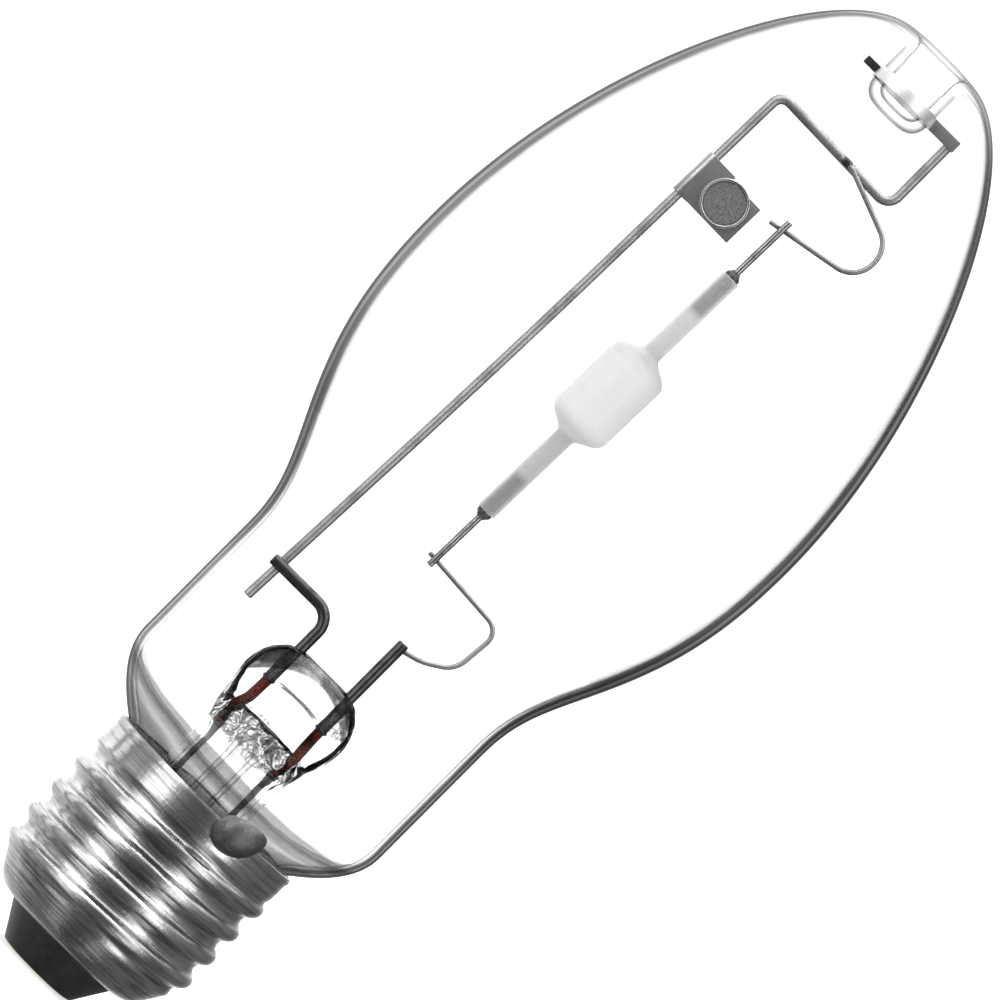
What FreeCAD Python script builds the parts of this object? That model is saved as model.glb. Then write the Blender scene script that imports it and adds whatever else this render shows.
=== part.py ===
import FreeCAD, Part
import math
import os

os.makedirs("parts", exist_ok=True)

Vector = FreeCAD.Vector

# Metal halide lamp, upright, in millimetres.
# The origin is the middle of the contact face at the foot of the cap.
# +Z runs up the axis to the crown, and -Y is the side that faces the viewer.

# Outer bulb
wall = 1.1
bulb_top = 140.0
belly_r = 27.5
belly_z = 88.5
tube_r = 18.0
tube_bottom = 35.0
tube_top = 51.0
swell_r = 21.7
swell_z = 63.3
swell_slope = 0.48
neck_r = 10.6
neck_top = 22.5
seal_z = 14.0
shoulder_r = 12.4
shoulder_z = 26.7
shoulder_pitch = 37.0

# Dimple in the crown
pit_r = 2.9
pit_depth = 7.8
pit_rim_round = 1.5
pit_floor_round = 1.5

# Cap shell
pitch = 3.62
thread_arc = 1.025
crest_r = 13.15
thread_phase = 14.15
thread_start = 7.6
thread_end = 23.6
thread_fade = 1.7
sheet = 0.3
shell_bottom = 4.15
shell_top = 26.4
mouth_r = 7.5
band_r = 12.8
foot_flat_r = 9.6
foot_bend = 3.0
foot_corner_r = 12.4
foot_corner_z = 8.5
body_low = 10.6
body_high = 20.4
body_bend = 3.0
band_low = 22.8
band_bend = 6.0
bead_height = 0.9
bead_proud = 0.14
section_step = 0.45
turn_steps = 24

# Cap foot
contact_r = 4.75
contact_sheet = 0.45
eyelet_r = 1.0
insulator_foot_r = 5.0
insulator_rim = 0.12
insulator_depth = 3.6
insulator_seat_r = 7.85
insulator_spread_r = 8.6
insulator_spread_rise = 0.2

# Stem
stem_x = -0.6
press_x = -0.35
stem_tube_r = 5.75
stem_wall = 1.0
stem_tube_bottom = 25.0
stem_tube_top = 32.5
flare_rim = 1.2
flare_clearance = 0.45
press_half_width = 7.25
press_half_depth = 2.9
press_mid = 40.0
stem_top = 45.2
hollow_top = 36.3
exhaust_r = 1.65
exhaust_wall = 0.55
exhaust_tip = 16.5
exhaust_hole_r = 0.8
exhaust_hole_z = 35.2

# Wires
support_r = 0.68
seal_r = 0.58
outer_r = 0.4
frame_r = 0.56
strap_r = 0.3
weld_gap = 0.01

# Support leads
arm_x = -4.2
arm_z = 49.95
arm_end_x = -13.35
arm_bend = 2.3
post_x = 3.4
post_top = 53.4
seal_wire_top = 40.3
seal_wire_bottom = 33.0
seal_wire_jog = 36.2
frame_side_x = -4.75
strap_side_x = 3.3
cap_lead_top = 12.2
cap_lead_low = 9.6
side_lead_z = 10.9
side_lead_turn = 22.9
side_lead_top = 25.7

# Frame wire
frame_foot = (-12.5, 45.0)
frame_bow_x = -10.72
frame_bow_drop = 4.5
frame_shoulder_x = -9.75
bar_left_drop = 15.15
bar_right_drop = 15.65
mast_x = 7.15
mast_top_drop = 5.9
frame_bow_bend = 1500.0
frame_bend = 1.3
mast_bend = 1.5

# Dimple clip
clip_rise = 1.15
clip_height = 1.45
clip_sheet = 0.2
clip_clearance = 0.1
clip_tail_x = 7.9
clip_lug_x = -6.0

# Getter
flag_drop = 12.75
flag_height = 5.7
flag_right_x = -2.5
flag_sheet = 0.25
flag_step_x = -6.9
flag_step = 0.5
flag_clearance = 0.05
getter_x = -5.75
getter_r = 2.75
getter_height = 0.6
getter_lip = 0.25

# Straps
bar_weld_left = -0.3
bar_weld_right = 1.5
bar_weld_bend = 2.0
upper_reach = 10.35
upper_corner_drop = 3.3
upper_return_drop = 8.25
upper_end_drop = 10.25
upper_end_x = -0.9
upper_bend = 3.1
lower_end_x = -1.7
lower_end_rise = 9.0
lower_reach = 9.85
lower_corner_rise = 8.2
lower_corner_bend = 1.8
lower_turn_x = 9.3
lower_turn_rise = 1.9
lower_turn_bend = 3.0
lower_dip_x = 6.2
lower_dip_drop = 0.1
lower_dip_bend = 6.0
lower_start_x = 2.95
lower_start_drop = 0.95

# Arc tube, worked out along its own leaning axis
arc_lean = 1.6
body_r = 3.75
body_half = 3.9
leg_r = 1.15
leg_start = 6.5
leg_share = 0.712
ceramic_wall = 0.8
body_round = 1.6
leg_flare = 0.45
leg_round = 0.9
bore_open = 1.1
bore_flare = 0.6
bore_round = 0.8
room_round = 1.1
bore_r = 0.45
niobium_r = 0.4
niobium_share = 0.76
niobium_upper_spare = 1.45
niobium_lower_spare = 1.05
frit_r = 0.95
frit_height = 0.9
shank_r = 0.22
coil_wire_r = 0.1
coil_turns = 3
electrode_tip = 2.4
coil_start = 2.8

# Side solder
solder_x = 5.2
solder_z = 26.5
solder_proud = 0.5
solder_long = 3.2
solder_short = 2.5
solder_thick = 2.0
solder_tilt = 38.0

# Basing cement
cement_bottom = 16.0
cement_top = 26.1
collar_low = 23.7
cement_gap = 0.04

# Sizes that follow from those above
shell_root_r = crest_r - 2 * thread_arc + math.sqrt(4 * thread_arc ** 2 - (pitch / 2) ** 2)
neck_bore_r = neck_r - wall
pit_outer_r = pit_r + wall
pit_floor = bulb_top - pit_depth
clip_bottom = pit_floor + clip_rise
frame_bow = (frame_bow_x, belly_z - frame_bow_drop)
bar_left_z = bulb_top - bar_left_drop
bar_right_z = bulb_top - bar_right_drop
mast_top = bulb_top - mast_top_drop
flag_z = bar_left_z - flag_drop
upper_end_z = bar_right_z - upper_end_drop
lower_end_z = post_top + lower_end_rise
arc_centre_z = (upper_end_z + lower_end_z) / 2
lead_reach = (upper_end_z - lower_end_z) / 2
leg_end = leg_share * lead_reach
niobium_inner = niobium_share * leg_end
frame_y = support_r + weld_gap + frame_r
strap_y = frame_y - frame_r - weld_gap - strap_r
arc_y = strap_y - strap_r - weld_gap - niobium_r
solder_angle = math.degrees(math.asin(solder_x / band_r)) - 90
side_wire_r = (neck_r + shell_root_r - sheet) / 2


def point(r, z):
    """Point of a profile in the XZ plane."""
    return Vector(r, 0, z)


def line(a, b):
    return Part.LineSegment(a, b).toShape()


def bezier(*poles):
    curve = Part.BezierCurve()
    curve.setPoles(list(poles))
    return curve.toShape()


def quarter(start, centre, end):
    """Arc from start to end about a centre, by the shorter way."""
    radius = start.distanceToPoint(centre)
    middle = (start + end) / 2 - centre
    middle.normalize()
    return Part.Arc(start, centre + middle * radius, end).toShape()


def turned(edges):
    """Solid turned about the Z axis from the edges of one half section."""
    face = Part.Face(Part.Wire(Part.__sortEdges__(edges)))
    return face.revolve(Vector(0, 0, 0), Vector(0, 0, 1), 360)


def tube(outside_r, inside_r, low, high):
    """Round tube on the Z axis."""
    outside = Part.makeCylinder(outside_r, high - low, point(0, low))
    return outside.cut(Part.makeCylinder(inside_r, high - low, point(0, low)))


def rounded_path(corners, radii):
    """Straight runs through the corners, joined by tangent arcs."""
    edges = []
    last = corners[0]
    for before, corner, after, radius in zip(corners, corners[1:], corners[2:], radii):
        back = (before - corner).normalize()
        ahead = (after - corner).normalize()
        half_turn = (math.pi - back.getAngle(ahead)) / 2
        tangent = radius * math.tan(half_turn)
        inward = (back + ahead).normalize()
        reach = radius / math.cos(half_turn) - radius
        start = corner + back * tangent
        end = corner + ahead * tangent
        edges.append(line(last, start))
        edges.append(Part.Arc(start, corner + inward * reach, end).toShape())
        last = end
    edges.append(line(last, corners[-1]))
    return Part.Wire(edges)


def wire(path, radius):
    """Round wire along a path."""
    edge = path.OrderedEdges[0]
    start = edge.valueAt(edge.FirstParameter)
    normal = edge.tangentAt(edge.FirstParameter)
    circle = Part.Wire(Part.makeCircle(radius, start, normal))
    return path.makePipeShell([circle], True, False)


def bent_wire(corners, radii, radius):
    return wire(rounded_path(corners, radii), radius)


# Outer bulb
def bulb_outline(inset):
    """Half section of one face of the glass, from the seal up to the dimple's floor.

    The outer face has an inset of 0, and the inner face is the same line moved in by the wall.
    """
    pitch_angle = math.radians(shoulder_pitch)
    shoulder_way = point(math.cos(pitch_angle), math.sin(pitch_angle))
    shoulder = point(shoulder_r, shoulder_z) + point(-shoulder_way.z, shoulder_way.x) * inset
    swell_way = point(swell_slope, 1).normalize()
    swell = point(swell_r, swell_z) + point(-swell_way.z, swell_way.x) * inset
    neck = point(neck_r - inset, neck_top)
    tube_low = point(tube_r - inset, tube_bottom)
    tube_high = point(tube_r - inset, tube_top)
    belly = point(belly_r - inset, belly_z)
    crown_z = bulb_top - inset
    mouth_r = pit_r + inset
    mouth_round = pit_rim_round - 0.3 * inset
    crown = point(mouth_r + mouth_round, crown_z)
    floor_z = pit_floor - inset
    floor_round = pit_floor_round + 0.6 * inset
    mouth = point(mouth_r, crown_z - mouth_round)
    pit_foot = point(mouth_r, floor_z + floor_round)
    floor = point(mouth_r - floor_round, floor_z)
    return [
        line(point(neck_r - inset, seal_z), neck),
        bezier(neck, neck + point(0, 2.0), shoulder - shoulder_way * 1.4, shoulder),
        bezier(shoulder, shoulder + shoulder_way * 3.6, tube_low - point(0, 3.4), tube_low),
        line(tube_low, tube_high),
        bezier(tube_high, tube_high + point(0, 4.8), swell - swell_way * 5.1, swell),
        bezier(swell, swell + swell_way * 8.9, belly - point(0, 11.0), belly),
        bezier(belly, belly + point(0, 24.3), crown + point(9.7, 0), crown),
        quarter(crown, point(crown.x, mouth.z), mouth),
        line(mouth, pit_foot),
        quarter(pit_foot, point(floor.x, pit_foot.z), floor),
        line(floor, point(0, floor_z)),
    ]


def make_outer_bulb():
    outside = bulb_outline(0)
    inside = bulb_outline(wall)
    foot = line(point(neck_r, seal_z), point(neck_bore_r, seal_z))
    crown = line(point(0, pit_floor), point(0, pit_floor - wall))
    return turned(outside + inside + [foot, crown])


# Cap
def thread_height(offset):
    """Radius of the thread above its root, made of equal arcs at crest and root."""
    offset = abs(offset - pitch * round(offset / pitch))
    depth = crest_r - shell_root_r
    if offset <= pitch / 4:
        return depth - thread_arc + math.sqrt(thread_arc ** 2 - offset ** 2)
    return thread_arc - math.sqrt(thread_arc ** 2 - (pitch / 2 - offset) ** 2)


def smooth_step(value):
    value = min(1.0, max(0.0, value))
    return value * value * (3 - 2 * value)


def thread_share(z):
    """1 where the thread is full, and 0 where the shell is plain."""
    rising = smooth_step((z - thread_start) / thread_fade)
    return rising * smooth_step((thread_end - z) / thread_fade)


def shell_section():
    """Plain half section of the shell from the mouth of the foot up to the rim."""
    mean_r = (crest_r + shell_root_r) / 2
    corners = [
        point(mouth_r, shell_bottom),
        point(foot_flat_r, shell_bottom),
        point(foot_corner_r, foot_corner_z),
        point(mean_r, body_low),
        point(mean_r, body_high),
        point(band_r, band_low),
        point(band_r, shell_top),
    ]
    return rounded_path(corners, [foot_bend, body_bend, body_bend, band_bend, band_bend])


def shell_stations(section):
    """Points along the section, each with the way that the section runs there."""
    stations = []
    for edge in section.OrderedEdges:
        count = max(1, round(edge.Length / section_step))
        for i in range(count):
            share = edge.FirstParameter + (edge.LastParameter - edge.FirstParameter) * i / count
            stations.append((edge.valueAt(share), edge.tangentAt(share)))
    last = section.OrderedEdges[-1]
    stations.append((last.valueAt(last.LastParameter), last.tangentAt(last.LastParameter)))
    return stations


def shell_point(station, angle, depth):
    """Point of the shell at a station, an angle and a depth into the sheet."""
    place, way = station
    turn_lift = pitch * angle / (2 * math.pi)
    mean_height = (crest_r - shell_root_r) / 2
    ripple = thread_height(place.z - thread_phase - turn_lift) - mean_height
    from_bead = abs(place.z - shell_top + bead_height / 2) / (bead_height / 2)
    rise = thread_share(place.z) * ripple + bead_proud * smooth_step(1 - from_bead)
    r = place.x + rise - depth * way.z
    return Vector(r * math.cos(angle), r * math.sin(angle), place.z + depth * way.x)


def even_curve(points, closed):
    """Smooth curve through the points, one unit of its parameter from each to the next."""
    curve = Part.BSplineCurve()
    count = len(points) + (1 if closed else 0)
    curve.interpolate(Points=points, PeriodicFlag=closed, Parameters=[float(i) for i in range(count)])
    return curve


def shell_face(stations, depth):
    """One face of the sheet: section curves at even angles, joined by closed curves round the axis."""
    angles = [2 * math.pi * i / turn_steps for i in range(turn_steps)]
    sections = [even_curve([shell_point(s, angle, depth) for s in stations], False) for angle in angles]
    section_poles = [section.getPoles() for section in sections]
    rings = [even_curve(list(ring), True) for ring in zip(*section_poles)]
    poles = [list(column) for column in zip(*(ring.getPoles() for ring in rings))]
    surface = Part.BSplineSurface()
    surface.buildFromPolesMultsKnots(
        poles, rings[0].getMultiplicities(), sections[0].getMultiplicities(),
        rings[0].getKnots(), sections[0].getKnots(), True, False, 3, 3)
    return surface.toShape()


def end_rings(face):
    """Closed edges of a face at its rim and at its mouth, the lower one first."""
    rings = [edge for edge in face.Edges if edge.isClosed()]
    return sorted(rings, key=lambda edge: edge.BoundBox.ZMax)


def make_cap_shell():
    """Thin sheet with the round screw thread rolled through both of its faces."""
    stations = shell_stations(shell_section())
    outer = shell_face(stations, 0)
    inner = shell_face(stations, sheet)
    ends = [Part.makeRuledSurface(*pair) for pair in zip(end_rings(outer), end_rings(inner))]
    shell = Part.makeShell([outer, inner] + ends)
    shell.sewShape()
    solid = Part.makeSolid(shell)
    solid.fix(1e-6, 1e-6, 1e-4)
    return solid.Solids[0]


def make_cap_insulator():
    """Black glass cone that carries the contact and spreads out inside the shell's foot."""
    inside_z = shell_bottom + sheet + weld_gap
    throat_r = mouth_r - weld_gap
    profile = [
        point(eyelet_r, contact_sheet),
        point(contact_r + weld_gap, contact_sheet),
        point(contact_r + weld_gap, insulator_rim),
        point(insulator_foot_r, insulator_rim),
        point(throat_r, shell_bottom),
        point(throat_r, inside_z),
        point(insulator_seat_r, inside_z),
        point(insulator_spread_r, inside_z + insulator_spread_rise),
        point(insulator_spread_r, inside_z + insulator_depth),
        point(eyelet_r, inside_z + insulator_depth),
    ]
    return turned([line(a, b) for a, b in zip(profile, profile[1:] + profile[:1])])


def make_centre_contact():
    """Flat plate with a rounded edge and a hole for the soldered lead."""
    plate = Part.makeCylinder(contact_r, contact_sheet)
    plate = plate.makeFillet(contact_sheet / 2, [plate.Edges[2]])
    return plate.cut(Part.makeCylinder(eyelet_r, contact_sheet))


def make_basing_cement(outer_bulb, side_lead):
    """Cement between the neck of the bulb and the shell, with a way through for the side lead."""
    ring = tube(shell_root_r - sheet - cement_gap, neck_r, cement_bottom, cement_top)
    collar = tube(band_r - sheet - cement_gap, neck_r, collar_low, cement_top)
    return ring.fuse(collar).removeSplitter().cut(outer_bulb).cut(side_lead)


def make_side_solder(neighbours):
    """Leaning drop of solder over the rim of the shell."""
    drop = Part.makeSphere(1.0)
    stretch = FreeCAD.Matrix()
    stretch.scale(solder_thick, solder_long, solder_short)
    drop = drop.transformGeometry(stretch)
    drop.rotate(Vector(0, 0, 0), Vector(1, 0, 0), solder_tilt)
    drop.translate(Vector(band_r + solder_proud, 0, solder_z))
    drop.rotate(Vector(0, 0, 0), Vector(0, 0, 1), solder_angle)
    drop = drop.cut(neighbours)
    return max(drop.Solids, key=lambda solid: solid.Volume)


# Stem
def stem_loft(stations):
    """Smooth glass body through oval sections, each given by height, X and its two half widths."""
    sections = []
    for z, x, half_width, half_depth in stations:
        if half_width - half_depth < 0.001:
            curve = Part.Circle(Vector(x, 0, z), Vector(0, 0, 1), half_width)
        else:
            curve = Part.Ellipse(Vector(x, 0, z), half_width, half_depth)
        sections.append(Part.Wire(curve.toShape()))
    return Part.makeLoft(sections, True, False)


def make_stem(leads):
    """Flare tube, sealed to the neck at its rim and pressed flat round the leads at its top."""
    mouth = neck_bore_r - flare_clearance
    tube_x, tube_in = stem_x, stem_tube_r - stem_wall
    width, depth = press_half_width, press_half_depth
    outside = stem_loft([
        (seal_z - flare_rim / 2, 0, mouth, mouth),
        (seal_z + 4, tube_x / 2, stem_tube_r + 1.2, stem_tube_r + 1.2),
        (stem_tube_bottom, tube_x, stem_tube_r + 0.1, stem_tube_r + 0.1),
        (stem_tube_top - 3, tube_x, stem_tube_r, stem_tube_r),
        (stem_tube_top, tube_x, stem_tube_r, stem_tube_r - 0.1),
        (stem_tube_top + 2.5, tube_x, width - 0.95, depth + 1.4),
        (press_mid - 2.5, press_x, width - 0.4, depth + 0.4),
        (press_mid, press_x, width, depth),
        (stem_top - 2.9, press_x, width - 0.45, depth - 0.15),
        (stem_top - 1.3, press_x, width - 1.55, depth - 0.5),
        (stem_top - 0.4, press_x, width - 2.75, depth - 1.0),
        (stem_top, press_x, width - 4.1, depth - 1.7),
    ])
    inside = stem_loft([
        (seal_z - flare_rim - 0.1, 0, mouth - stem_wall, mouth - stem_wall),
        (seal_z + 4, tube_x / 2, tube_in + 1.2, tube_in + 1.2),
        (stem_tube_bottom, tube_x, tube_in + 0.1, tube_in + 0.1),
        (stem_tube_top - 3, tube_x, tube_in, tube_in),
        (stem_tube_top, tube_x, tube_in, tube_in - 0.2),
        (stem_tube_top + 2, tube_x, tube_in + 0.25, tube_in - 2.2),
        (hollow_top, tube_x, tube_in - 0.4, 0.6),
    ])
    rim = Part.makeCylinder(neck_r, flare_rim, Vector(0, 0, seal_z - flare_rim))
    glass = outside.fuse(rim).cut(inside)
    return glass.cut(exhaust_hole()).cut(leads)


def exhaust_hole():
    start = point(stem_x, exhaust_hole_z)
    return Part.makeCylinder(exhaust_hole_r, stem_tube_r, start, Vector(0, -1, 0))


def make_exhaust_tube(stem):
    """Thin tube down the middle of the stem, melted shut at its lower end."""
    bore_r = exhaust_r - exhaust_wall
    length = hollow_top - exhaust_tip
    foot = Vector(stem_x, 0, exhaust_tip)
    body = Part.makeCylinder(exhaust_r, length, foot).fuse(Part.makeSphere(exhaust_r, foot))
    bore = Part.makeCylinder(bore_r, length, foot).fuse(Part.makeSphere(bore_r, foot))
    whole = body.cut(bore).cut(exhaust_hole()).cut(stem)
    return max(whole.Solids, key=lambda solid: solid.Volume).removeSplitter()


# Leads from the cap up through the press
def make_seal_wire(top_x, bottom_x):
    """Wire sealed in the press, with a small jog between its two ends."""
    corners = [
        point(top_x, seal_wire_top),
        point(top_x, seal_wire_jog + 1.0),
        point(bottom_x, seal_wire_jog - 1.0),
        point(bottom_x, seal_wire_bottom),
    ]
    return bent_wire(corners, [2.0, 2.0], seal_r)


def make_frame_outer_lead():
    """Lead down the stem and across to the eyelet of the centre contact."""
    corners = [
        point(frame_side_x, seal_wire_bottom),
        point(frame_side_x, cap_lead_top),
        point(0, cap_lead_low),
        point(0, contact_sheet),
    ]
    return bent_wire(corners, [1.8, 1.8], outer_r)


def make_strap_outer_lead():
    """Lead down the stem, round the end of the neck and up beside it to the rim of the shell."""
    angle = math.radians(solder_angle)
    outward = Vector(math.cos(angle), math.sin(angle), 0)
    up = Vector(0, 0, 1)
    corners = [
        point(strap_side_x, seal_wire_bottom),
        point(strap_side_x, side_lead_z),
        outward * side_wire_r + up * side_lead_z,
        outward * side_wire_r + up * side_lead_turn,
        outward * (band_r - sheet - outer_r - 0.1) + up * side_lead_top,
    ]
    return bent_wire(corners, [1.4, 1.4, 1.4], outer_r)


def make_frame_support_lead():
    corners = [point(arm_x, seal_wire_top), point(arm_x, arm_z), point(arm_end_x, arm_z)]
    return bent_wire(corners, [arm_bend], support_r)


def make_strap_support_lead():
    return Part.makeCylinder(support_r, post_top - seal_wire_top, point(post_x, seal_wire_top))


# Frame
def make_frame_wire():
    """Bowed rod from the stem to the top bar, and up to the dimple."""
    corners = [
        Vector(frame_foot[0], frame_y, frame_foot[1]),
        Vector(frame_bow[0], frame_y, frame_bow[1]),
        Vector(frame_shoulder_x, frame_y, bar_left_z),
        Vector(mast_x, frame_y, bar_right_z),
        Vector(mast_x, frame_y, mast_top),
    ]
    return bent_wire(corners, [frame_bow_bend, frame_bend, mast_bend], frame_r)


def make_dimple_clip():
    """Strip closed round the dimple, with a doubled tail to the frame and a lug on the far side."""
    inner_r = pit_outer_r + clip_clearance
    band = tube(inner_r + clip_sheet, inner_r, clip_bottom, clip_bottom + clip_height)
    tail_y = frame_y - frame_r - weld_gap - 2 * clip_sheet
    tail = Part.makeBox(clip_tail_x, 2 * clip_sheet, clip_height, Vector(0, tail_y, clip_bottom))
    lug = Part.makeBox(-clip_lug_x, clip_sheet, clip_height, Vector(clip_lug_x, 0, clip_bottom))
    room = Part.makeCylinder(inner_r, clip_height, point(0, clip_bottom))
    return band.fuse([tail.cut(room), lug.cut(room)]).removeSplitter()


def rod_x(z):
    """X of the frame wire's axis on its upper run."""
    lean = (frame_shoulder_x - frame_bow[0]) / (bar_left_z - frame_bow[1])
    return frame_bow[0] + lean * (z - frame_bow[1])


def make_getter_flag():
    """Plate folded round the rod along its left edge, with a step in its upper edge."""
    fold_r = frame_r + flag_clearance
    x = rod_x(flag_z)
    low = flag_z - flag_height / 2
    fold = tube(fold_r + flag_sheet, fold_r, low, low + flag_height)
    fold.translate(Vector(x, frame_y, 0))
    room = 2 * fold_r + 1
    open_half = Part.makeBox(room, 2 * room, flag_height, Vector(x, frame_y - room, low))
    front_y = frame_y - fold_r - flag_sheet
    front = Part.makeBox(flag_right_x - x, flag_sheet, flag_height, Vector(x, front_y, low))
    back = Part.makeBox(2 * frame_r, flag_sheet, flag_height, Vector(x, frame_y + fold_r, low))
    step = Part.makeBox(
        flag_right_x - flag_step_x, 4 * flag_sheet, flag_step,
        Vector(flag_step_x, front_y - flag_sheet, low + flag_height - flag_step))
    flag = fold.cut(open_half).fuse([front, back]).removeSplitter().cut(step)
    flag.rotate(Vector(x, 0, flag_z), Vector(0, 1, 0), rod_lean())
    return flag


def rod_lean():
    """Lean of the frame wire's upper run in degrees."""
    return math.degrees(math.atan2(frame_shoulder_x - frame_bow[0], bar_left_z - frame_bow[1]))


def make_getter_disc():
    """Round pan with a raised lip, filled a little short of the lip."""
    filled = getter_height - getter_lip / 2
    profile = [
        point(0, 0),
        point(getter_r - 0.15, 0),
        point(getter_r, 0.15),
        point(getter_r, getter_height),
        point(getter_r - getter_lip, getter_height),
        point(getter_r - 1.8 * getter_lip, filled),
        point(0, filled),
    ]
    disc = turned([line(a, b) for a, b in zip(profile, profile[1:] + profile[:1])])
    disc.rotate(Vector(0, 0, 0), Vector(1, 0, 0), 90)
    front_y = frame_y - frame_r - flag_clearance - flag_sheet
    disc.translate(Vector(getter_x, front_y, flag_z - flag_step / 4))
    return disc


# Straps
def make_upper_strap():
    """Bowed wire from the front of the bar round to the back of the upper lead."""
    corners = [
        Vector(bar_weld_left, strap_y, bar_right_z + 0.2),
        Vector(bar_weld_right, strap_y, bar_right_z + 0.1),
        Vector(upper_reach, strap_y, bar_right_z - upper_corner_drop),
        Vector(upper_reach, strap_y, bar_right_z - upper_return_drop),
        Vector(upper_end_x, strap_y, upper_end_z),
    ]
    return bent_wire(corners, [bar_weld_bend, upper_bend, upper_bend], strap_r)


def make_lower_strap():
    """Bowed wire from the back of the post round to the back of the lower lead."""
    post_y = support_r + weld_gap + strap_r
    corners = [
        Vector(lower_start_x, post_y, post_top - lower_start_drop),
        Vector(lower_dip_x, post_y, post_top - lower_dip_drop),
        Vector(lower_turn_x, post_y, post_top + lower_turn_rise),
        Vector(lower_reach, strap_y, post_top + lower_corner_rise),
        Vector(lower_end_x, strap_y, lower_end_z),
    ]
    return bent_wire(corners, [lower_dip_bend, lower_turn_bend, lower_corner_bend], strap_r)


# Arc tube
def on_arc_axis(shape):
    """Place a piece that was made upright about the arc tube's middle."""
    shape.rotate(Vector(0, 0, 0), Vector(0, 1, 0), arc_lean)
    shape.translate(Vector(0, arc_y, arc_centre_z))
    return shape


def flipped(shape):
    """The same piece for the lower end."""
    shape.rotate(Vector(0, 0, 0), Vector(1, 0, 0), 180)
    return shape


def make_arc_tube():
    """Ceramic body with a hollow middle and a fine bore through each leg."""
    room_r = body_r - ceramic_wall
    room_half = body_half - 0.5 * ceramic_wall
    edges = []
    for side in (1, -1):
        body_edge = point(body_r, side * body_half)
        body_pull = point(body_r, side * (body_half + body_round))
        leg_pull = point(leg_r + leg_flare, side * (leg_start - leg_round))
        leg_root = point(leg_r, side * leg_start)
        leg_tip = point(leg_r, side * leg_end)
        bore_tip = point(bore_r, side * leg_end)
        bore_root = point(bore_r, side * (leg_start - bore_open))
        bore_pull = point(bore_r + bore_flare, side * (leg_start - bore_open - bore_round))
        room_pull = point(room_r, side * (room_half + room_round))
        room_edge = point(room_r, side * room_half)
        edges.append(bezier(body_edge, body_pull, leg_pull, leg_root))
        edges.append(line(leg_root, leg_tip))
        edges.append(line(leg_tip, bore_tip))
        edges.append(line(bore_tip, bore_root))
        edges.append(bezier(bore_root, bore_pull, room_pull, room_edge))
    edges.append(line(point(body_r, -body_half), point(body_r, body_half)))
    edges.append(line(point(room_r, -room_half), point(room_r, room_half)))
    return turned(edges)


def make_frit():
    """Drop of sealing glass on the end of a leg, with the lead through it."""
    top = leg_end + frit_height
    low_r = niobium_r + 0.12
    edges = [
        line(point(niobium_r, leg_end), point(frit_r, leg_end)),
        bezier(point(frit_r, leg_end), point(frit_r, leg_end + 0.6 * frit_height),
               point(low_r + 0.1, leg_end + 0.6 * frit_height), point(low_r, top)),
        line(point(low_r, top), point(niobium_r, top)),
        line(point(niobium_r, top), point(niobium_r, leg_end)),
    ]
    return turned(edges)


def make_niobium_lead(outer_end):
    return Part.makeCylinder(niobium_r, outer_end - niobium_inner, point(0, niobium_inner))


def make_electrode():
    return Part.makeCylinder(shank_r, niobium_inner - electrode_tip, point(0, electrode_tip))


def make_electrode_coil():
    """Fine wire wound on the electrode behind its tip."""
    centre_r = shank_r + weld_gap + coil_wire_r
    coil_pitch = 2.2 * coil_wire_r
    helix = Part.makeHelix(coil_pitch, coil_pitch * coil_turns, centre_r)
    circle = Part.Wire(Part.makeCircle(coil_wire_r, Vector(centre_r, 0, 0), Vector(0, 1, 0)))
    coil = Part.Wire(helix).makePipeShell([circle], True, True)
    coil.translate(point(0, coil_start))
    return coil


def make_parts():
    nodes = {}
    nodes["outer_bulb"] = make_outer_bulb()
    nodes["frame_support_lead"] = make_frame_support_lead()
    nodes["strap_support_lead"] = make_strap_support_lead()
    nodes["frame_seal_wire"] = make_seal_wire(arm_x, frame_side_x)
    nodes["strap_seal_wire"] = make_seal_wire(post_x, strap_side_x)
    nodes["frame_outer_lead"] = make_frame_outer_lead()
    nodes["strap_outer_lead"] = make_strap_outer_lead()
    leads = [shape for name, shape in nodes.items() if name != "outer_bulb"]
    nodes["stem"] = make_stem(leads)
    nodes["exhaust_tube"] = make_exhaust_tube(nodes["stem"])
    nodes["cap_shell"] = make_cap_shell()
    nodes["cap_insulator"] = make_cap_insulator()
    nodes["centre_contact"] = make_centre_contact()
    nodes["contact_solder"] = Part.makeCylinder(eyelet_r, contact_sheet)
    nodes["basing_cement"] = make_basing_cement(nodes["outer_bulb"], nodes["strap_outer_lead"])
    rim_names = ("outer_bulb", "cap_shell", "basing_cement", "strap_outer_lead")
    rim_pieces = [nodes[name] for name in rim_names]
    nodes["side_solder"] = make_side_solder(rim_pieces)
    nodes["frame_wire"] = make_frame_wire()
    nodes["dimple_clip"] = make_dimple_clip()
    nodes["getter_flag"] = make_getter_flag()
    nodes["getter_disc"] = make_getter_disc()
    nodes["upper_strap"] = make_upper_strap()
    nodes["lower_strap"] = make_lower_strap()
    nodes["arc_tube"] = on_arc_axis(make_arc_tube())
    nodes["upper_frit"] = on_arc_axis(make_frit())
    nodes["lower_frit"] = on_arc_axis(flipped(make_frit()))
    nodes["upper_niobium_lead"] = on_arc_axis(make_niobium_lead(lead_reach + niobium_upper_spare))
    lower_lead = make_niobium_lead(lead_reach + niobium_lower_spare)
    nodes["lower_niobium_lead"] = on_arc_axis(flipped(lower_lead))
    nodes["upper_electrode"] = on_arc_axis(make_electrode())
    nodes["lower_electrode"] = on_arc_axis(flipped(make_electrode()))
    nodes["upper_electrode_coil"] = on_arc_axis(make_electrode_coil())
    nodes["lower_electrode_coil"] = on_arc_axis(flipped(make_electrode_coil()))
    return nodes


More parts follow.
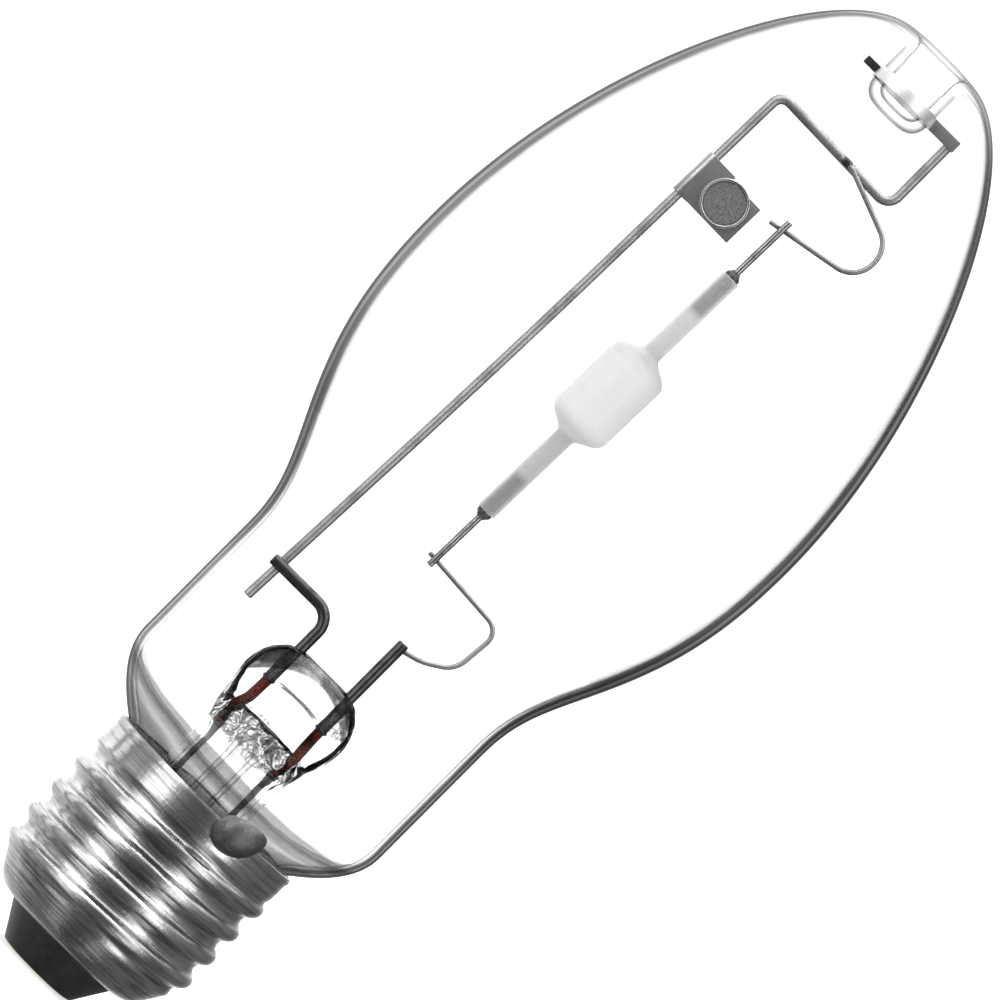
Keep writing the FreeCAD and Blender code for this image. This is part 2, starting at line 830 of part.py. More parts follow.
for name, shape in make_parts().items():
    print(f"{name}: {len(shape.Solids)} solid, {shape.Volume:.2f} mm3, valid {shape.isValid()}")
    shape.exportStep(f"parts/{name}.step")
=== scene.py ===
import logging
import math
from collections.abc import Callable, Iterable, Sequence
from dataclasses import dataclass
from enum import Enum
from functools import partial

import bpy
import numpy as np
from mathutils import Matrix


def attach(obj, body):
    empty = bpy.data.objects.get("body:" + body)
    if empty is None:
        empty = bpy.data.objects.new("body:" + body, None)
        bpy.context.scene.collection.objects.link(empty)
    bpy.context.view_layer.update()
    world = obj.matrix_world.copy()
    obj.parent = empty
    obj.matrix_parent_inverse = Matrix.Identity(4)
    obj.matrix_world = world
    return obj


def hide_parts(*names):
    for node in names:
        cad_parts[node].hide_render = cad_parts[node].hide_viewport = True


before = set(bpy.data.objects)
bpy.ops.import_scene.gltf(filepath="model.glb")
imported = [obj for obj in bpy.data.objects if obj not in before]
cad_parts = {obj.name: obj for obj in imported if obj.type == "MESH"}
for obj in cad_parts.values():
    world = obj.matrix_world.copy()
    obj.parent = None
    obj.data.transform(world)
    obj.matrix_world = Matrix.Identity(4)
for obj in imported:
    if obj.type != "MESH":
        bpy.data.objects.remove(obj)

# Metal halide lamp, dressed for its portrait. Sizes in the classes are in millimetres, as the maker
# gives them, and MM turns them to metres where a mesh is made. A pattern's scale is METRE / its size.
MM = 0.001
METRE = 1000.0
FULL_TURN = 2 * math.pi
QUARTER_TURN = math.pi / 2
UP = np.array([0.0, 0.0, 1.0])
ACROSS = np.array([0.0, 1.0, 0.0])
WHITE = (1.0, 1.0, 1.0, 1.0)
LOG = logging.getLogger("lamp")

Array = np.ndarray
Node = bpy.types.Node
Adder = Callable[..., Node]
Colour = tuple[float, float, float, float]
Triple = tuple[float, float, float]
Pair = tuple[float, float]
Pairs = tuple[Pair, ...]
Row = tuple[float, ...]
Rows = tuple[Row, ...]


class End(Enum):
    """How a grown surface stops at its first and last ring."""

    POLE = "pole"
    LOOP = "loop"


def srgb(code: str) -> Colour:
    """Turn an sRGB hex colour into a linear one.

    Args:
        code: six hex digits with a leading hash.

    Returns:
        Red, green, blue and an alpha of 1, each linear.
    """
    parts = [int(code[i:i + 2], 16) / 255 for i in (1, 3, 5)]
    linear = [p / 12.92 if p <= 0.04045 else ((p + 0.055) / 1.055) ** 2.4 for p in parts]
    return (*linear, 1.0)


def straight(start: tuple, end: tuple, count: int) -> Array:
    """Points on a straight line: start + t * (end - start), with t even from 0 to 1."""
    share = np.linspace(0.0, 1.0, count)[:, None]
    return np.asarray(start) + share * (np.asarray(end) - np.asarray(start))


def joined(*stretches: Array) -> Array:
    """One profile from stretches that start where the one before ends."""
    return np.vstack([stretches[0]] + [s[1:] for s in stretches[1:]])


def bezier(a: tuple, b: tuple, c: tuple, d: tuple, count: int) -> Array:
    """Points on a cubic: the four poles weighted by the Bernstein cubics of t from 0 to 1.

    Args:
        a: the first point.
        b: the end of the handle at the first point.
        c: the end of the handle at the last point.
        d: the last point.
        count: how many points the cubic gets.

    Returns:
        The points, one row each.
    """
    t = np.linspace(0.0, 1.0, count)[:, None]
    a, b, c, d = (np.asarray(p, float) for p in (a, b, c, d))
    return (1 - t) ** 3 * a + 3 * t * (1 - t) ** 2 * b + 3 * t * t * (1 - t) * c + t ** 3 * d


def eased(start: Array, leaving: Array, end: Array, arriving: Array,
          pulls: Pair, count: int) -> Array:
    """A cubic whose handles lie on the two ways, each as long as its pull."""
    return bezier(start, start + leaving * pulls[0], end - arriving * pulls[1], end, count)


def arc(start: tuple, centre: tuple, end: tuple, count: int) -> Array:
    """Points of the shorter arc from start to end: the angle about the centre runs evenly.

    Args:
        start: the first point, which sets the radius.
        centre: the point that the arc runs round.
        end: a point on the last spoke.
        count: how many points the arc gets.

    Returns:
        The points, one row each.
    """
    start, centre, end = (np.asarray(p, float) for p in (start, centre, end))
    first = math.atan2(*(start - centre)[::-1])
    turn = math.atan2(*(end - centre)[::-1]) - first
    turn = (turn + math.pi) % FULL_TURN - math.pi
    angles = first + np.linspace(0.0, turn, count)
    return centre + np.linalg.norm(start - centre) * np.stack([np.cos(angles), np.sin(angles)], 1)


def chain(start: tuple, *runs: tuple) -> Array:
    """Stretches one after another: (end, count) is a straight run, and (end, count, centre) an arc.

    Args:
        start: the first point.
        *runs: the stretches, each with the number of its points.

    Returns:
        The points, one row each.
    """
    stretches = []
    for end, count, *centre in runs:
        stretches.append(arc(start, *centre, end, count) if centre else straight(start, end, count))
        start = end
    return joined(*stretches)


def unit(vectors: Array) -> Array:
    """The vectors with each length made 1."""
    return vectors / np.linalg.norm(vectors, axis=-1, keepdims=True)


def leaned(points: Array, angle: float) -> Array:
    """Points turned about the Y axis, the top towards +X: (x cos a + z sin a, y, z cos a - x sin a).

    Args:
        points: any array whose last axis is X, Y and Z.
        angle: the turn in radians.

    Returns:
        The turned points.
    """
    x, y, z = np.moveaxis(points, -1, 0)
    cosine, sine = math.cos(angle), math.sin(angle)
    return np.stack([x * cosine + z * sine, y, z * cosine - x * sine], -1)


def ring_angles(count: int) -> Array:
    """The angles of a ring's points: even steps from 0 to one step short of a full turn."""
    return np.arange(count) * FULL_TURN / count


def smooth_step(value: Array) -> Array:
    """A soft step: 3 v^2 - 2 v^3 of the value held between 0 and 1."""
    value = np.clip(value, 0.0, 1.0)
    return value * value * (3 - 2 * value)


def rounded_path(corners: Array, radii: Sequence[float], step: float) -> Array:
    """Points along straight runs that tangent arcs join at each inner corner.

    Each arc leaves its run at radius * tan(half the turn) from the corner, and its points are the
    centre plus the radius times the first spoke turned evenly towards the last one.

    Args:
        corners: the corners, one row each, in millimetres.
        radii: the radius at each inner corner.
        step: the greatest distance between two points.

    Returns:
        The points, one row each.
    """
    fewest, widest_angle = 6, 0.12
    points = [corners[:1]]
    for before, corner, after, radius in zip(corners, corners[1:], corners[2:], radii):
        back, ahead = unit(before - corner), unit(after - corner)
        half_turn = (math.pi - math.acos(np.clip(back @ ahead, -1, 1))) / 2
        turn = 2 * half_turn
        reach = radius * math.tan(half_turn)
        centre = corner + unit(back + ahead) * radius / math.cos(half_turn)
        first = unit(corner + back * reach - centre)
        last = unit(corner + ahead * reach - centre)
        count = max(fewest, int(turn * radius / step), int(turn / widest_angle))
        share = np.linspace(0.0, 1.0, count)[:, None]
        spokes = (np.sin((1 - share) * turn) * first + np.sin(share * turn) * last) / math.sin(turn)
        points.append(centre + radius * spokes)
    points.append(corners[-1:])
    sparse = np.vstack(points)
    lengths = np.concatenate([[0.0], np.cumsum(np.linalg.norm(np.diff(sparse, axis=0), axis=1))])
    even = np.linspace(0.0, lengths[-1], max(4, int(lengths[-1] / step)))
    return np.stack([np.interp(even, lengths, sparse[:, k]) for k in range(3)], 1)


def signed_volume(points: Array, quads: Array) -> float:
    """Six times the volume of a closed mesh: the triple product summed over its two triangle fans."""
    a, b, c, d = (points[quads[:, k]] for k in range(4))
    return float(np.sum(a * np.cross(b, c)) + np.sum(a * np.cross(c, d)))


def grow_mesh(name: str, rings: Array, ends: End, crease: float) -> bpy.types.Object:
    """Make a piece from rings of points that close round, as one smooth skin.

    The ring index and the place in the ring are the two parameters of the surface. A pole is the
    mean of the ring beside it. The UV map holds the length along the profile and round the ring in
    metres, so that a pattern can follow the surface at its real scale.

    Args:
        name: the piece's name.
        rings: an array of rings by points by 3, in millimetres.
        ends: how the first and last ring are closed.
        crease: the angle in degrees from which an edge stays sharp.

    Returns:
        The new object, in the scene.
    """
    count, around = rings.shape[:2]
    points = rings.reshape(-1, 3) * MM
    rows = np.arange(count if ends is End.LOOP else count - 1)[:, None] * around
    columns = np.arange(around)
    ahead = (columns + 1) % around
    above = (rows + around) % (count * around)
    corners = (rows + columns, rows + ahead, above + ahead, above + columns)
    quads = np.stack([corner.ravel() for corner in corners], 1)
    if ends is End.POLE:
        first, last, top = count * around, count * around + 1, (count - 1) * around
        points = np.vstack([points, rings[0].mean(0) * MM, rings[-1].mean(0) * MM])
        low_fan = np.stack([np.full(around, first), ahead, columns, columns], 1)
        high_fan = np.stack([np.full(around, last), top + columns, top + ahead, top + ahead], 1)
        quads = np.vstack([quads, low_fan, high_fan])
    if signed_volume(points, quads) < 0:
        quads = quads[:, ::-1]
    faces = [tuple(dict.fromkeys(face)) for face in quads.tolist()]
    mesh = bpy.data.meshes.new(name)
    mesh.from_pydata(points.tolist(), [], faces)
    write_lengths(mesh, rings)
    mesh.shade_smooth()
    mesh.set_sharp_from_angle(angle=math.radians(crease))
    piece = bpy.data.objects.new(name, mesh)
    bpy.context.scene.collection.objects.link(piece)
    return piece


def read_layer(items: bpy.types.bpy_prop_collection, name: str, width: int = 1) -> Array:
    """One whole number, or a row of numbers, for each corner, face or vertex of a mesh.

    Args:
        items: the corners, faces or vertices.
        name: what is read from each.
        width: how many numbers that is.

    Returns:
        The numbers, one row each where there are several.
    """
    values = np.empty(len(items) * width, float if width > 1 else np.int32)
    items.foreach_get(name, values)
    return values.reshape(-1, width) if width > 1 else values


def write_lengths(mesh: bpy.types.Mesh, rings: Array) -> None:
    """Write the UV map: U is the length along the profile, and V the length round, in metres.

    The last face of a ring ends at the full girth instead of at 0, and a pole takes the mean of the
    other corners of its face.

    Args:
        mesh: the mesh that grow_mesh has just filled.
        rings: its rings in millimetres.
    """
    count, around = rings.shape[:2]
    steps = np.linalg.norm(np.diff(rings[:, 0], axis=0), axis=1)
    along = np.concatenate([[0.0], np.cumsum(steps)]) * MM
    girth = np.linalg.norm(rings - rings.mean(1, keepdims=True), axis=2).max() * FULL_TURN * MM
    vertex = read_layer(mesh.loops, "vertex_index")
    starts = read_layer(mesh.polygons, "loop_start")
    owner = np.repeat(np.arange(len(starts)), read_layer(mesh.polygons, "loop_total"))
    at_pole = vertex >= count * around
    ring = np.where(vertex == count * around, 0, np.clip(vertex // around, 0, count - 1))
    place = np.where(at_pole, 0.0, vertex % around)
    widest = np.maximum.reduceat(place, starts)
    place = np.where((widest[owner] == around - 1) & (place == 0) & ~at_pole, around, place)
    others = np.add.reduceat((~at_pole).astype(float), starts)
    middle = np.add.reduceat(place, starts) / np.maximum(others, 1)
    place = np.where(at_pole, middle[owner], place)
    layer = mesh.uv_layers.new(name="Lengths")
    layer.data.foreach_set("uv", np.stack([along[ring], place / around * girth], 1).ravel())


def turned(profile: Array, around: int = 96) -> Array:
    """Turn a profile about the Z axis: point = (r cos a, r sin a, z).

    Args:
        profile: rows of radius and height in millimetres; a radius of 0 is kept just open.
        around: how many points each ring has.

    Returns:
        The rings, one for each row.
    """
    just_open = 0.002
    angles = ring_angles(around)
    r = np.maximum(profile[:, :1], just_open)
    z = np.repeat(profile[:, 1:2], around, axis=1)
    return np.stack([r * np.cos(angles), r * np.sin(angles), z], 2)


def tube_rings(path: Array, radius: Array, side: Array, around: int) -> Array:
    """Rings of a round wire: path + radius * (cos a * side + sin a * other side).

    Args:
        path: the wire's axis in millimetres.
        radius: a radius for each point of the path.
        side: a direction that is never along the wire.
        around: how many points each ring has.

    Returns:
        The rings, an array of rings by points by 3.
    """
    way = unit(np.gradient(path, axis=0))
    first = unit(side - (way @ side)[:, None] * way)
    second = np.cross(way, first)
    angles = ring_angles(around)[None, :, None]
    spokes = np.cos(angles) * first[:, None] + np.sin(angles) * second[:, None]
    return path[:, None] + radius[:, None, None] * spokes


def wire(path: Array, radius: float, side: Array = ACROSS, around: int = 24) -> Array:
    """Rings of a cut wire along a path, its two ends broken by a small round.

    The first and last rings follow a quarter circle: radius - edge * (1 - sin a), at a depth of
    edge * (1 - cos a) from the end, with an edge of 0.3 times the radius.

    Args:
        path: the wire's axis in millimetres.
        radius: the wire's radius in millimetres.
        side: a direction that is never along the wire.
        around: how many points each ring has.

    Returns:
        The rings, from one end to the other.
    """
    edge = radius * 0.3
    turn = np.linspace(0, QUARTER_TURN, 5)
    start_way, end_way = unit(path[1] - path[0]), unit(path[-1] - path[-2])
    depth = (edge * (1 - np.cos(turn)))[:, None]
    end_r = radius - edge * (1 - np.sin(turn))
    from_start = np.linalg.norm(path - path[0], axis=1)
    from_end = np.linalg.norm(path - path[-1], axis=1)
    body = path[(from_start > edge) & (from_end > edge)]
    whole = np.vstack([path[0] + start_way * depth, body, path[-1] - end_way * depth[::-1]])
    radii = np.concatenate([end_r, np.full(len(body), radius), end_r[::-1]])
    return tube_rings(whole, radii, side, around)


def drop_rings(centre: tuple, radii: tuple, axes: Array = np.eye(3), count: int = 16,
               around: int = 28) -> Array:
    """Rings of an ellipsoid: centre + the three radii times sin u cos v, sin u sin v and cos u.

    Args:
        centre: its middle in millimetres.
        radii: its three half lengths in millimetres.
        axes: three unit rows, the ways of those half lengths.
        count: how many rings it has.
        around: how many points each ring has.

    Returns:
        The rings, from one end of the last axis to the other.
    """
    beside_pole = 0.06
    u = np.linspace(beside_pole, math.pi - beside_pole, count)[:, None]
    v = ring_angles(around)[None, :]
    parts = [np.sin(u) * np.cos(v), np.sin(u) * np.sin(v), np.cos(u) + 0 * v]
    spokes = (part[..., None] * size * axis for part, size, axis in zip(parts, radii, axes))
    return np.asarray(centre) + sum(spokes)


def uneven(points: Array, size: float, seed: float) -> Array:
    """A soft unevenness between about -1 and 1: sines of the three coordinates over a size, summed.

    Args:
        points: any array whose last axis is X, Y and Z in millimetres.
        size: the rough distance between two high spots in millimetres.
        seed: a number that makes the pattern another one.

    Returns:
        One number for each point.
    """
    p = points * (FULL_TURN / size)
    x, y, z = p[..., 0], p[..., 1], p[..., 2]
    waves = np.sin(x + 1.3 * np.sin(y * 0.7 + seed)) + np.sin(1.13 * y + 1.7 * np.sin(z * 0.6 + 2 * seed))
    waves = waves + np.sin(0.91 * z + 1.1 * np.sin(x * 0.8 + 3 * seed))
    return waves / 3


def hermite(at: Array, places: Array, values: Array) -> Array:
    """Smooth values between stations: cubics whose slope at a station is that between its neighbours.

    Args:
        at: the places asked for.
        places: the stations' places, rising.
        values: one row for each station.

    Returns:
        One row for each place asked for.
    """
    slopes = np.gradient(values, places, axis=0)
    k = np.clip(np.searchsorted(places, at) - 1, 0, len(places) - 2)
    span = (places[k + 1] - places[k])[:, None]
    t = (at - places[k])[:, None] / span
    h00, h10 = 2 * t ** 3 - 3 * t ** 2 + 1, t ** 3 - 2 * t ** 2 + t
    h01, h11 = -2 * t ** 3 + 3 * t ** 2, t ** 3 - t ** 2
    return h00 * values[k] + h10 * span * slopes[k] + h01 * values[k + 1] + h11 * span * slopes[k + 1]


def strip_rings(path: Array, thickness: float, low: float, high: Array | float,
                corner: float, closed: bool = False) -> Array:
    """Rings of a flat strip that stands on edge along a plan path, its section a rounded rectangle.

    Each ring is path + across * (half the thickness) and z from low to high, with quarter rounds
    of the corner radius at the four corners.

    Args:
        path: rows of X and Y in millimetres, along the middle of the sheet.
        thickness: of the sheet in millimetres.
        low: height of the lower edge.
        high: height of the upper edge, one or one for each point.
        corner: the radius of its broken edges.
        closed: True if the last point runs on into the first.

    Returns:
        The rings, one for each point of the path.
    """
    way = unit(np.roll(path, -1, 0) - np.roll(path, 1, 0) if closed else np.gradient(path, axis=0))
    across = np.stack([-way[:, 1], way[:, 0]], 1)
    turn = np.linspace(0, QUARTER_TURN, 5)
    quarter = np.stack([np.cos(turn), np.sin(turn)], 1)
    half = thickness / 2 - corner
    high = np.broadcast_to(np.asarray(high, float), len(path))
    middle, tall = (low + high) / 2, (high - low) / 2 - corner
    sides = []
    for right, up in ((1, 1), (-1, 1), (-1, -1), (1, -1)):
        bend = (quarter if right * up > 0 else quarter[::-1]) * (right, up) * corner
        z = middle[:, None] + up * tall[:, None] + bend[None, :, 1]
        xy = path[:, None] + (right * half + bend[:, 0])[None, :, None] * across[:, None]
        sides.append(np.concatenate([xy, z[..., None]], 2))
    return np.concatenate(sides, 1)


def add_node(tree: bpy.types.NodeTree, kind: str, *values: object,
             stops: list[tuple[float, tuple]] | None = None, **named: object) -> Node:
    """Add a node with its settings and links.

    A value is a number, a vector, a colour, a socket to link, or a node, which stands for its first
    output.

    Args:
        tree: the node tree that it goes into.
        kind: Blender's name for the node, without ShaderNode in front.
        *values: values for its inputs in use, in their order.
        stops: the places and colours of its ramp, where it has one.
        **named: values for inputs, by name in small letters with underscores, and the node's settings.

    Returns:
        The new node.
    """
    node = tree.nodes.new("ShaderNode" + kind)
    labels = {socket.name.lower().replace(" ", "_") for socket in node.inputs}
    for name, value in named.items():
        if name not in labels:
            setattr(node, name, value)
    used = [socket for socket in node.inputs if socket.enabled]
    by_label = {socket.name.lower().replace(" ", "_"): socket for socket in used}
    pairs = list(zip(used, values)) + [(by_label[name], named[name]) for name in named if name in labels]
    for socket, value in pairs:
        if isinstance(value, Node):
            value = next(output for output in value.outputs if output.enabled)
        if isinstance(value, bpy.types.NodeSocket):
            tree.links.new(value, socket)
        else:
            socket.default_value = value
    if stops:
        elements = node.color_ramp.elements
        while len(elements) < len(stops):
            elements.new(1.0)
        for element, (place, colour) in zip(elements, stops):
            element.position, element.color = place, colour
    return node


def grey(value: float) -> Colour:
    """A linear grey with an alpha of 1."""
    return (value, value, value, 1.0)


def greys(pairs: Iterable[Pair]) -> list[tuple[float, tuple]]:
    """The stops of a ramp of greys, from places and brightnesses."""
    return [(place, grey(value)) for place, value in pairs]


@dataclass(frozen=True)
class Finish:
    """A surface finish.

    Attributes:
        name: what the piece is made of and how its surface was made.
    """

    name: str

    def material(self) -> bpy.types.Material:
        """Make the Blender material, its shader linked to the output.

        Returns:
            The new material.
        """
        made = bpy.data.materials.new(self.name)
        made.use_nodes = True
        made.node_tree.nodes.clear()
        add = partial(add_node, made.node_tree)
        add("OutputMaterial", surface=self.shader(add))
        return made

    def shader(self, add: Adder) -> Node:
        """The shader's last node; add puts a node into the material's tree."""
        raise NotImplementedError


@dataclass(frozen=True)
class Metal(Finish):
    """A bare or plated metal with grain, smudges and drawn or rolled streaks.

    Attributes:
        clean: colour of the clean metal.
        dull: colour where it is oxidised or smudged.
        roughness: of the clean metal.
        dull_roughness: of the dull metal.
        dull_share: how much of the metal is dull, from 0 to 1.
        grain_mm: size of the grain.
        patch_mm: size of the dull patches.
        depth_mm: how deep grain and lines are.
        streak_mm: spacing of tool lines that run round the surface, or 0.
        streak_length: width of a line over its length.
        streak_height: share of the lines in the height.
        streak_wear: share of the lines in what is dull.
    """

    clean: str = "#c8c6c2"
    dull: str = "#8d8b88"
    roughness: float = 0.22
    dull_roughness: float = 0.42
    dull_share: float = 0.5
    grain_mm: float = 0.25
    patch_mm: float = 3.0
    depth_mm: float = 0.01
    streak_mm: float = 0.0
    streak_length: float = 0.035
    streak_height: float = 0.75
    streak_wear: float = 0.68

    def shader(self, add: Adder) -> Node:
        """Metal whose colour and roughness follow the patches, and whose bump is grain and lines.

        It is dull where the noise lies above 0.62 less 0.3 times the dull share, over a soft step.

        Args:
            add: adds a node.

        Returns:
            The shader's last node.
        """
        soft_step = 0.22
        place = add("TexCoord")
        spot = place.outputs["Object"]
        height = add("TexNoise", vector=spot, scale=METRE / self.grain_mm, detail=3.0)
        worn = add("TexNoise", vector=spot, scale=METRE / self.patch_mm, detail=5.0, roughness=0.6)
        if self.streak_mm > 0:
            stretch = add("Mapping", vector=place.outputs["UV"], scale=(1.0, self.streak_length, 1.0))
            lines = add("TexNoise", vector=stretch, scale=METRE / self.streak_mm, detail=4.0, roughness=0.65)
            height = add("Mix", self.streak_height, height, lines)
            worn = add("Mix", self.streak_wear, worn, lines)
        low = 0.62 - 0.3 * self.dull_share
        share = add("MapRange", worn, low, low + soft_step)
        colour = add("Mix", share, srgb(self.clean), srgb(self.dull), data_type="RGBA")
        rough = add("MapRange", share, to_min=self.roughness, to_max=self.dull_roughness)
        bump = add("Bump", height=height, strength=0.6, distance=self.depth_mm * MM)
        return add("BsdfPrincipled", base_color=colour, metallic=1.0, roughness=rough, normal=bump)


@dataclass(frozen=True)
class ThinGlass(Finish):
    """Clear blown glass, drawn as one clear film on each of its two faces.

    A wall of a millimetre hardly bends what is behind it, so the film lets light straight through.
    It mirrors towards its outline, where a painted shade darkens it as a curved wall's refraction would.

    Attributes:
        clear: colour let through where the wall is seen square on.
        rim: painted outline shade, the light let through by how far the film is turned away, from 0 to 1.
        mirror: share of light mirrored at the outline.
        haze_mm: size of the faint waves in the wall.
        haze_depth_mm: how deep the waves are.
        bands: painted shade by height, the light let through for the rings that a shoulder shows.
        bands_mm: heights where the bands start and end.
        band_dip_mm: how far the rings climb from the middle to the outline.
        band_lean: how far they sink for each millimetre to the right.
        band_waver_mm: how far the waves in the wall move them.
        pale_mm: heights between which the painted dark outline fades away.
        paleness: how far it fades.
        uneven: painted side shade: how heavy the outline is at left and right, as a power of its shade.
        side_shade_mm: how far to the left and right the painted side shade reaches.
        waist: how much heavier the painted outline is at the waist, or 0.
        waist_mm: heights where the waist starts and ends.
        waist_swell: share of that extra weight by height, from start to end.
    """

    clear: str = "#ffffff"
    rim: Pairs = ((0.0, 1.0), (0.7, 1.0), (0.85, 0.75), (1.0, 0.3))
    mirror: float = 0.2
    haze_mm: float = 9.0
    haze_depth_mm: float = 0.3
    bands: Pairs = ()
    bands_mm: Pair = (18.0, 30.0)
    band_dip_mm: float = -5.0
    band_lean: float = 0.035
    band_waver_mm: float = 1.4
    pale_mm: Pair = (500.0, 600.0)
    paleness: float = 0.45
    uneven: Pair = (1.0, 1.0)
    side_shade_mm: float = 12.0
    waist: float = 0.0
    waist_mm: Pair = (46.0, 80.0)
    waist_swell: Pairs = ((0.0, 0.0), (0.3, 1.0), (0.55, 1.0), (1.0, 0.0))

    def outline_weight(self, add: Adder, place: Node) -> Node:
        """The power of the painted outline shade: the waist's extra weight plus the side shade by X.

        Args:
            add: adds a node.
            place: the separated coordinates.

        Returns:
            The node with that power.
        """
        reach = self.side_shade_mm * MM
        # Painted side shade: the outline is heavier at the right, as if lit from the left.
        sideways = add("MapRange", place.outputs["X"], -reach, reach, *self.uneven)
        up = add("MapRange", place.outputs["Z"], *(z * MM for z in self.waist_mm))
        swell = add("ValToRGB", up, stops=greys(self.waist_swell))
        return add("Math", swell, self.waist, sideways, operation="MULTIPLY_ADD")

    def ring_shade(self, add: Adder, place: Node, turned_away: bpy.types.NodeSocket, waves: Node) -> Node:
        """The rings' painted shade by height, moved by the dip, the lean and the waves.

        Args:
            add: adds a node.
            place: the separated coordinates.
            turned_away: how far the film is turned away.
            waves: the waves in the wall.

        Returns:
            The ramp node.
        """
        lift = add("Math", turned_away, self.band_dip_mm * MM, place.outputs["Z"], operation="MULTIPLY_ADD")
        lean = add("Math", place.outputs["X"], self.band_lean, lift, operation="MULTIPLY_ADD")
        level = add("Math", waves, self.band_waver_mm * MM, lean, operation="MULTIPLY_ADD")
        share = add("MapRange", level, *(z * MM for z in self.bands_mm))
        return add("ValToRGB", share, stops=greys(self.bands))

    def shader(self, add: Adder) -> Node:
        """Clear film mixed with a mirror by the fourth power of the facing share.

        Args:
            add: adds a node.

        Returns:
            The shader's last node.
        """
        spot = add("TexCoord").outputs["Object"]
        place = add("SeparateXYZ", spot)
        waves = add("TexNoise", vector=spot, scale=METRE / self.haze_mm, detail=2.0)
        bump = add("Bump", height=waves, strength=0.35, distance=self.haze_depth_mm * MM)
        turned_away = add("LayerWeight", 0.5, bump).outputs["Facing"]
        # Painted outline shade: the film darkens as it turns away, heavier at the right and at the waist.
        shade = add("ValToRGB", turned_away, stops=greys(self.rim))
        if self.waist > 0:
            shade = add("Gamma", shade, self.outline_weight(add, place))
        fade = add("MapRange", place.outputs["Z"], *(z * MM for z in self.pale_mm), to_max=self.paleness)
        colour = add("Mix", fade, shade, srgb(self.clear), data_type="RGBA")
        # Painted shade of the shoulder's rings.
        if self.bands:
            rings = self.ring_shade(add, place, turned_away, waves)
            colour = add("Mix", 1.0, colour, rings, data_type="RGBA", blend_type="MULTIPLY")
        # The painted shade tints only camera and transmission rays, so other rays pass the film clear.
        path = add("LightPath")
        looked = add("Math", path.outputs["Is Camera Ray"], path.outputs["Is Transmission Ray"],
                     operation="MAXIMUM")
        seen = add("Mix", looked, srgb(self.clear), colour, data_type="RGBA")
        film = add("BsdfTransparent", color=seen)
        mirror = add("BsdfAnisotropic", color=WHITE, roughness=0.03, normal=bump)
        power = add("Math", turned_away, 4.0, operation="POWER")
        return add("MixShader", add("MapRange", power, to_max=self.mirror), film, mirror)


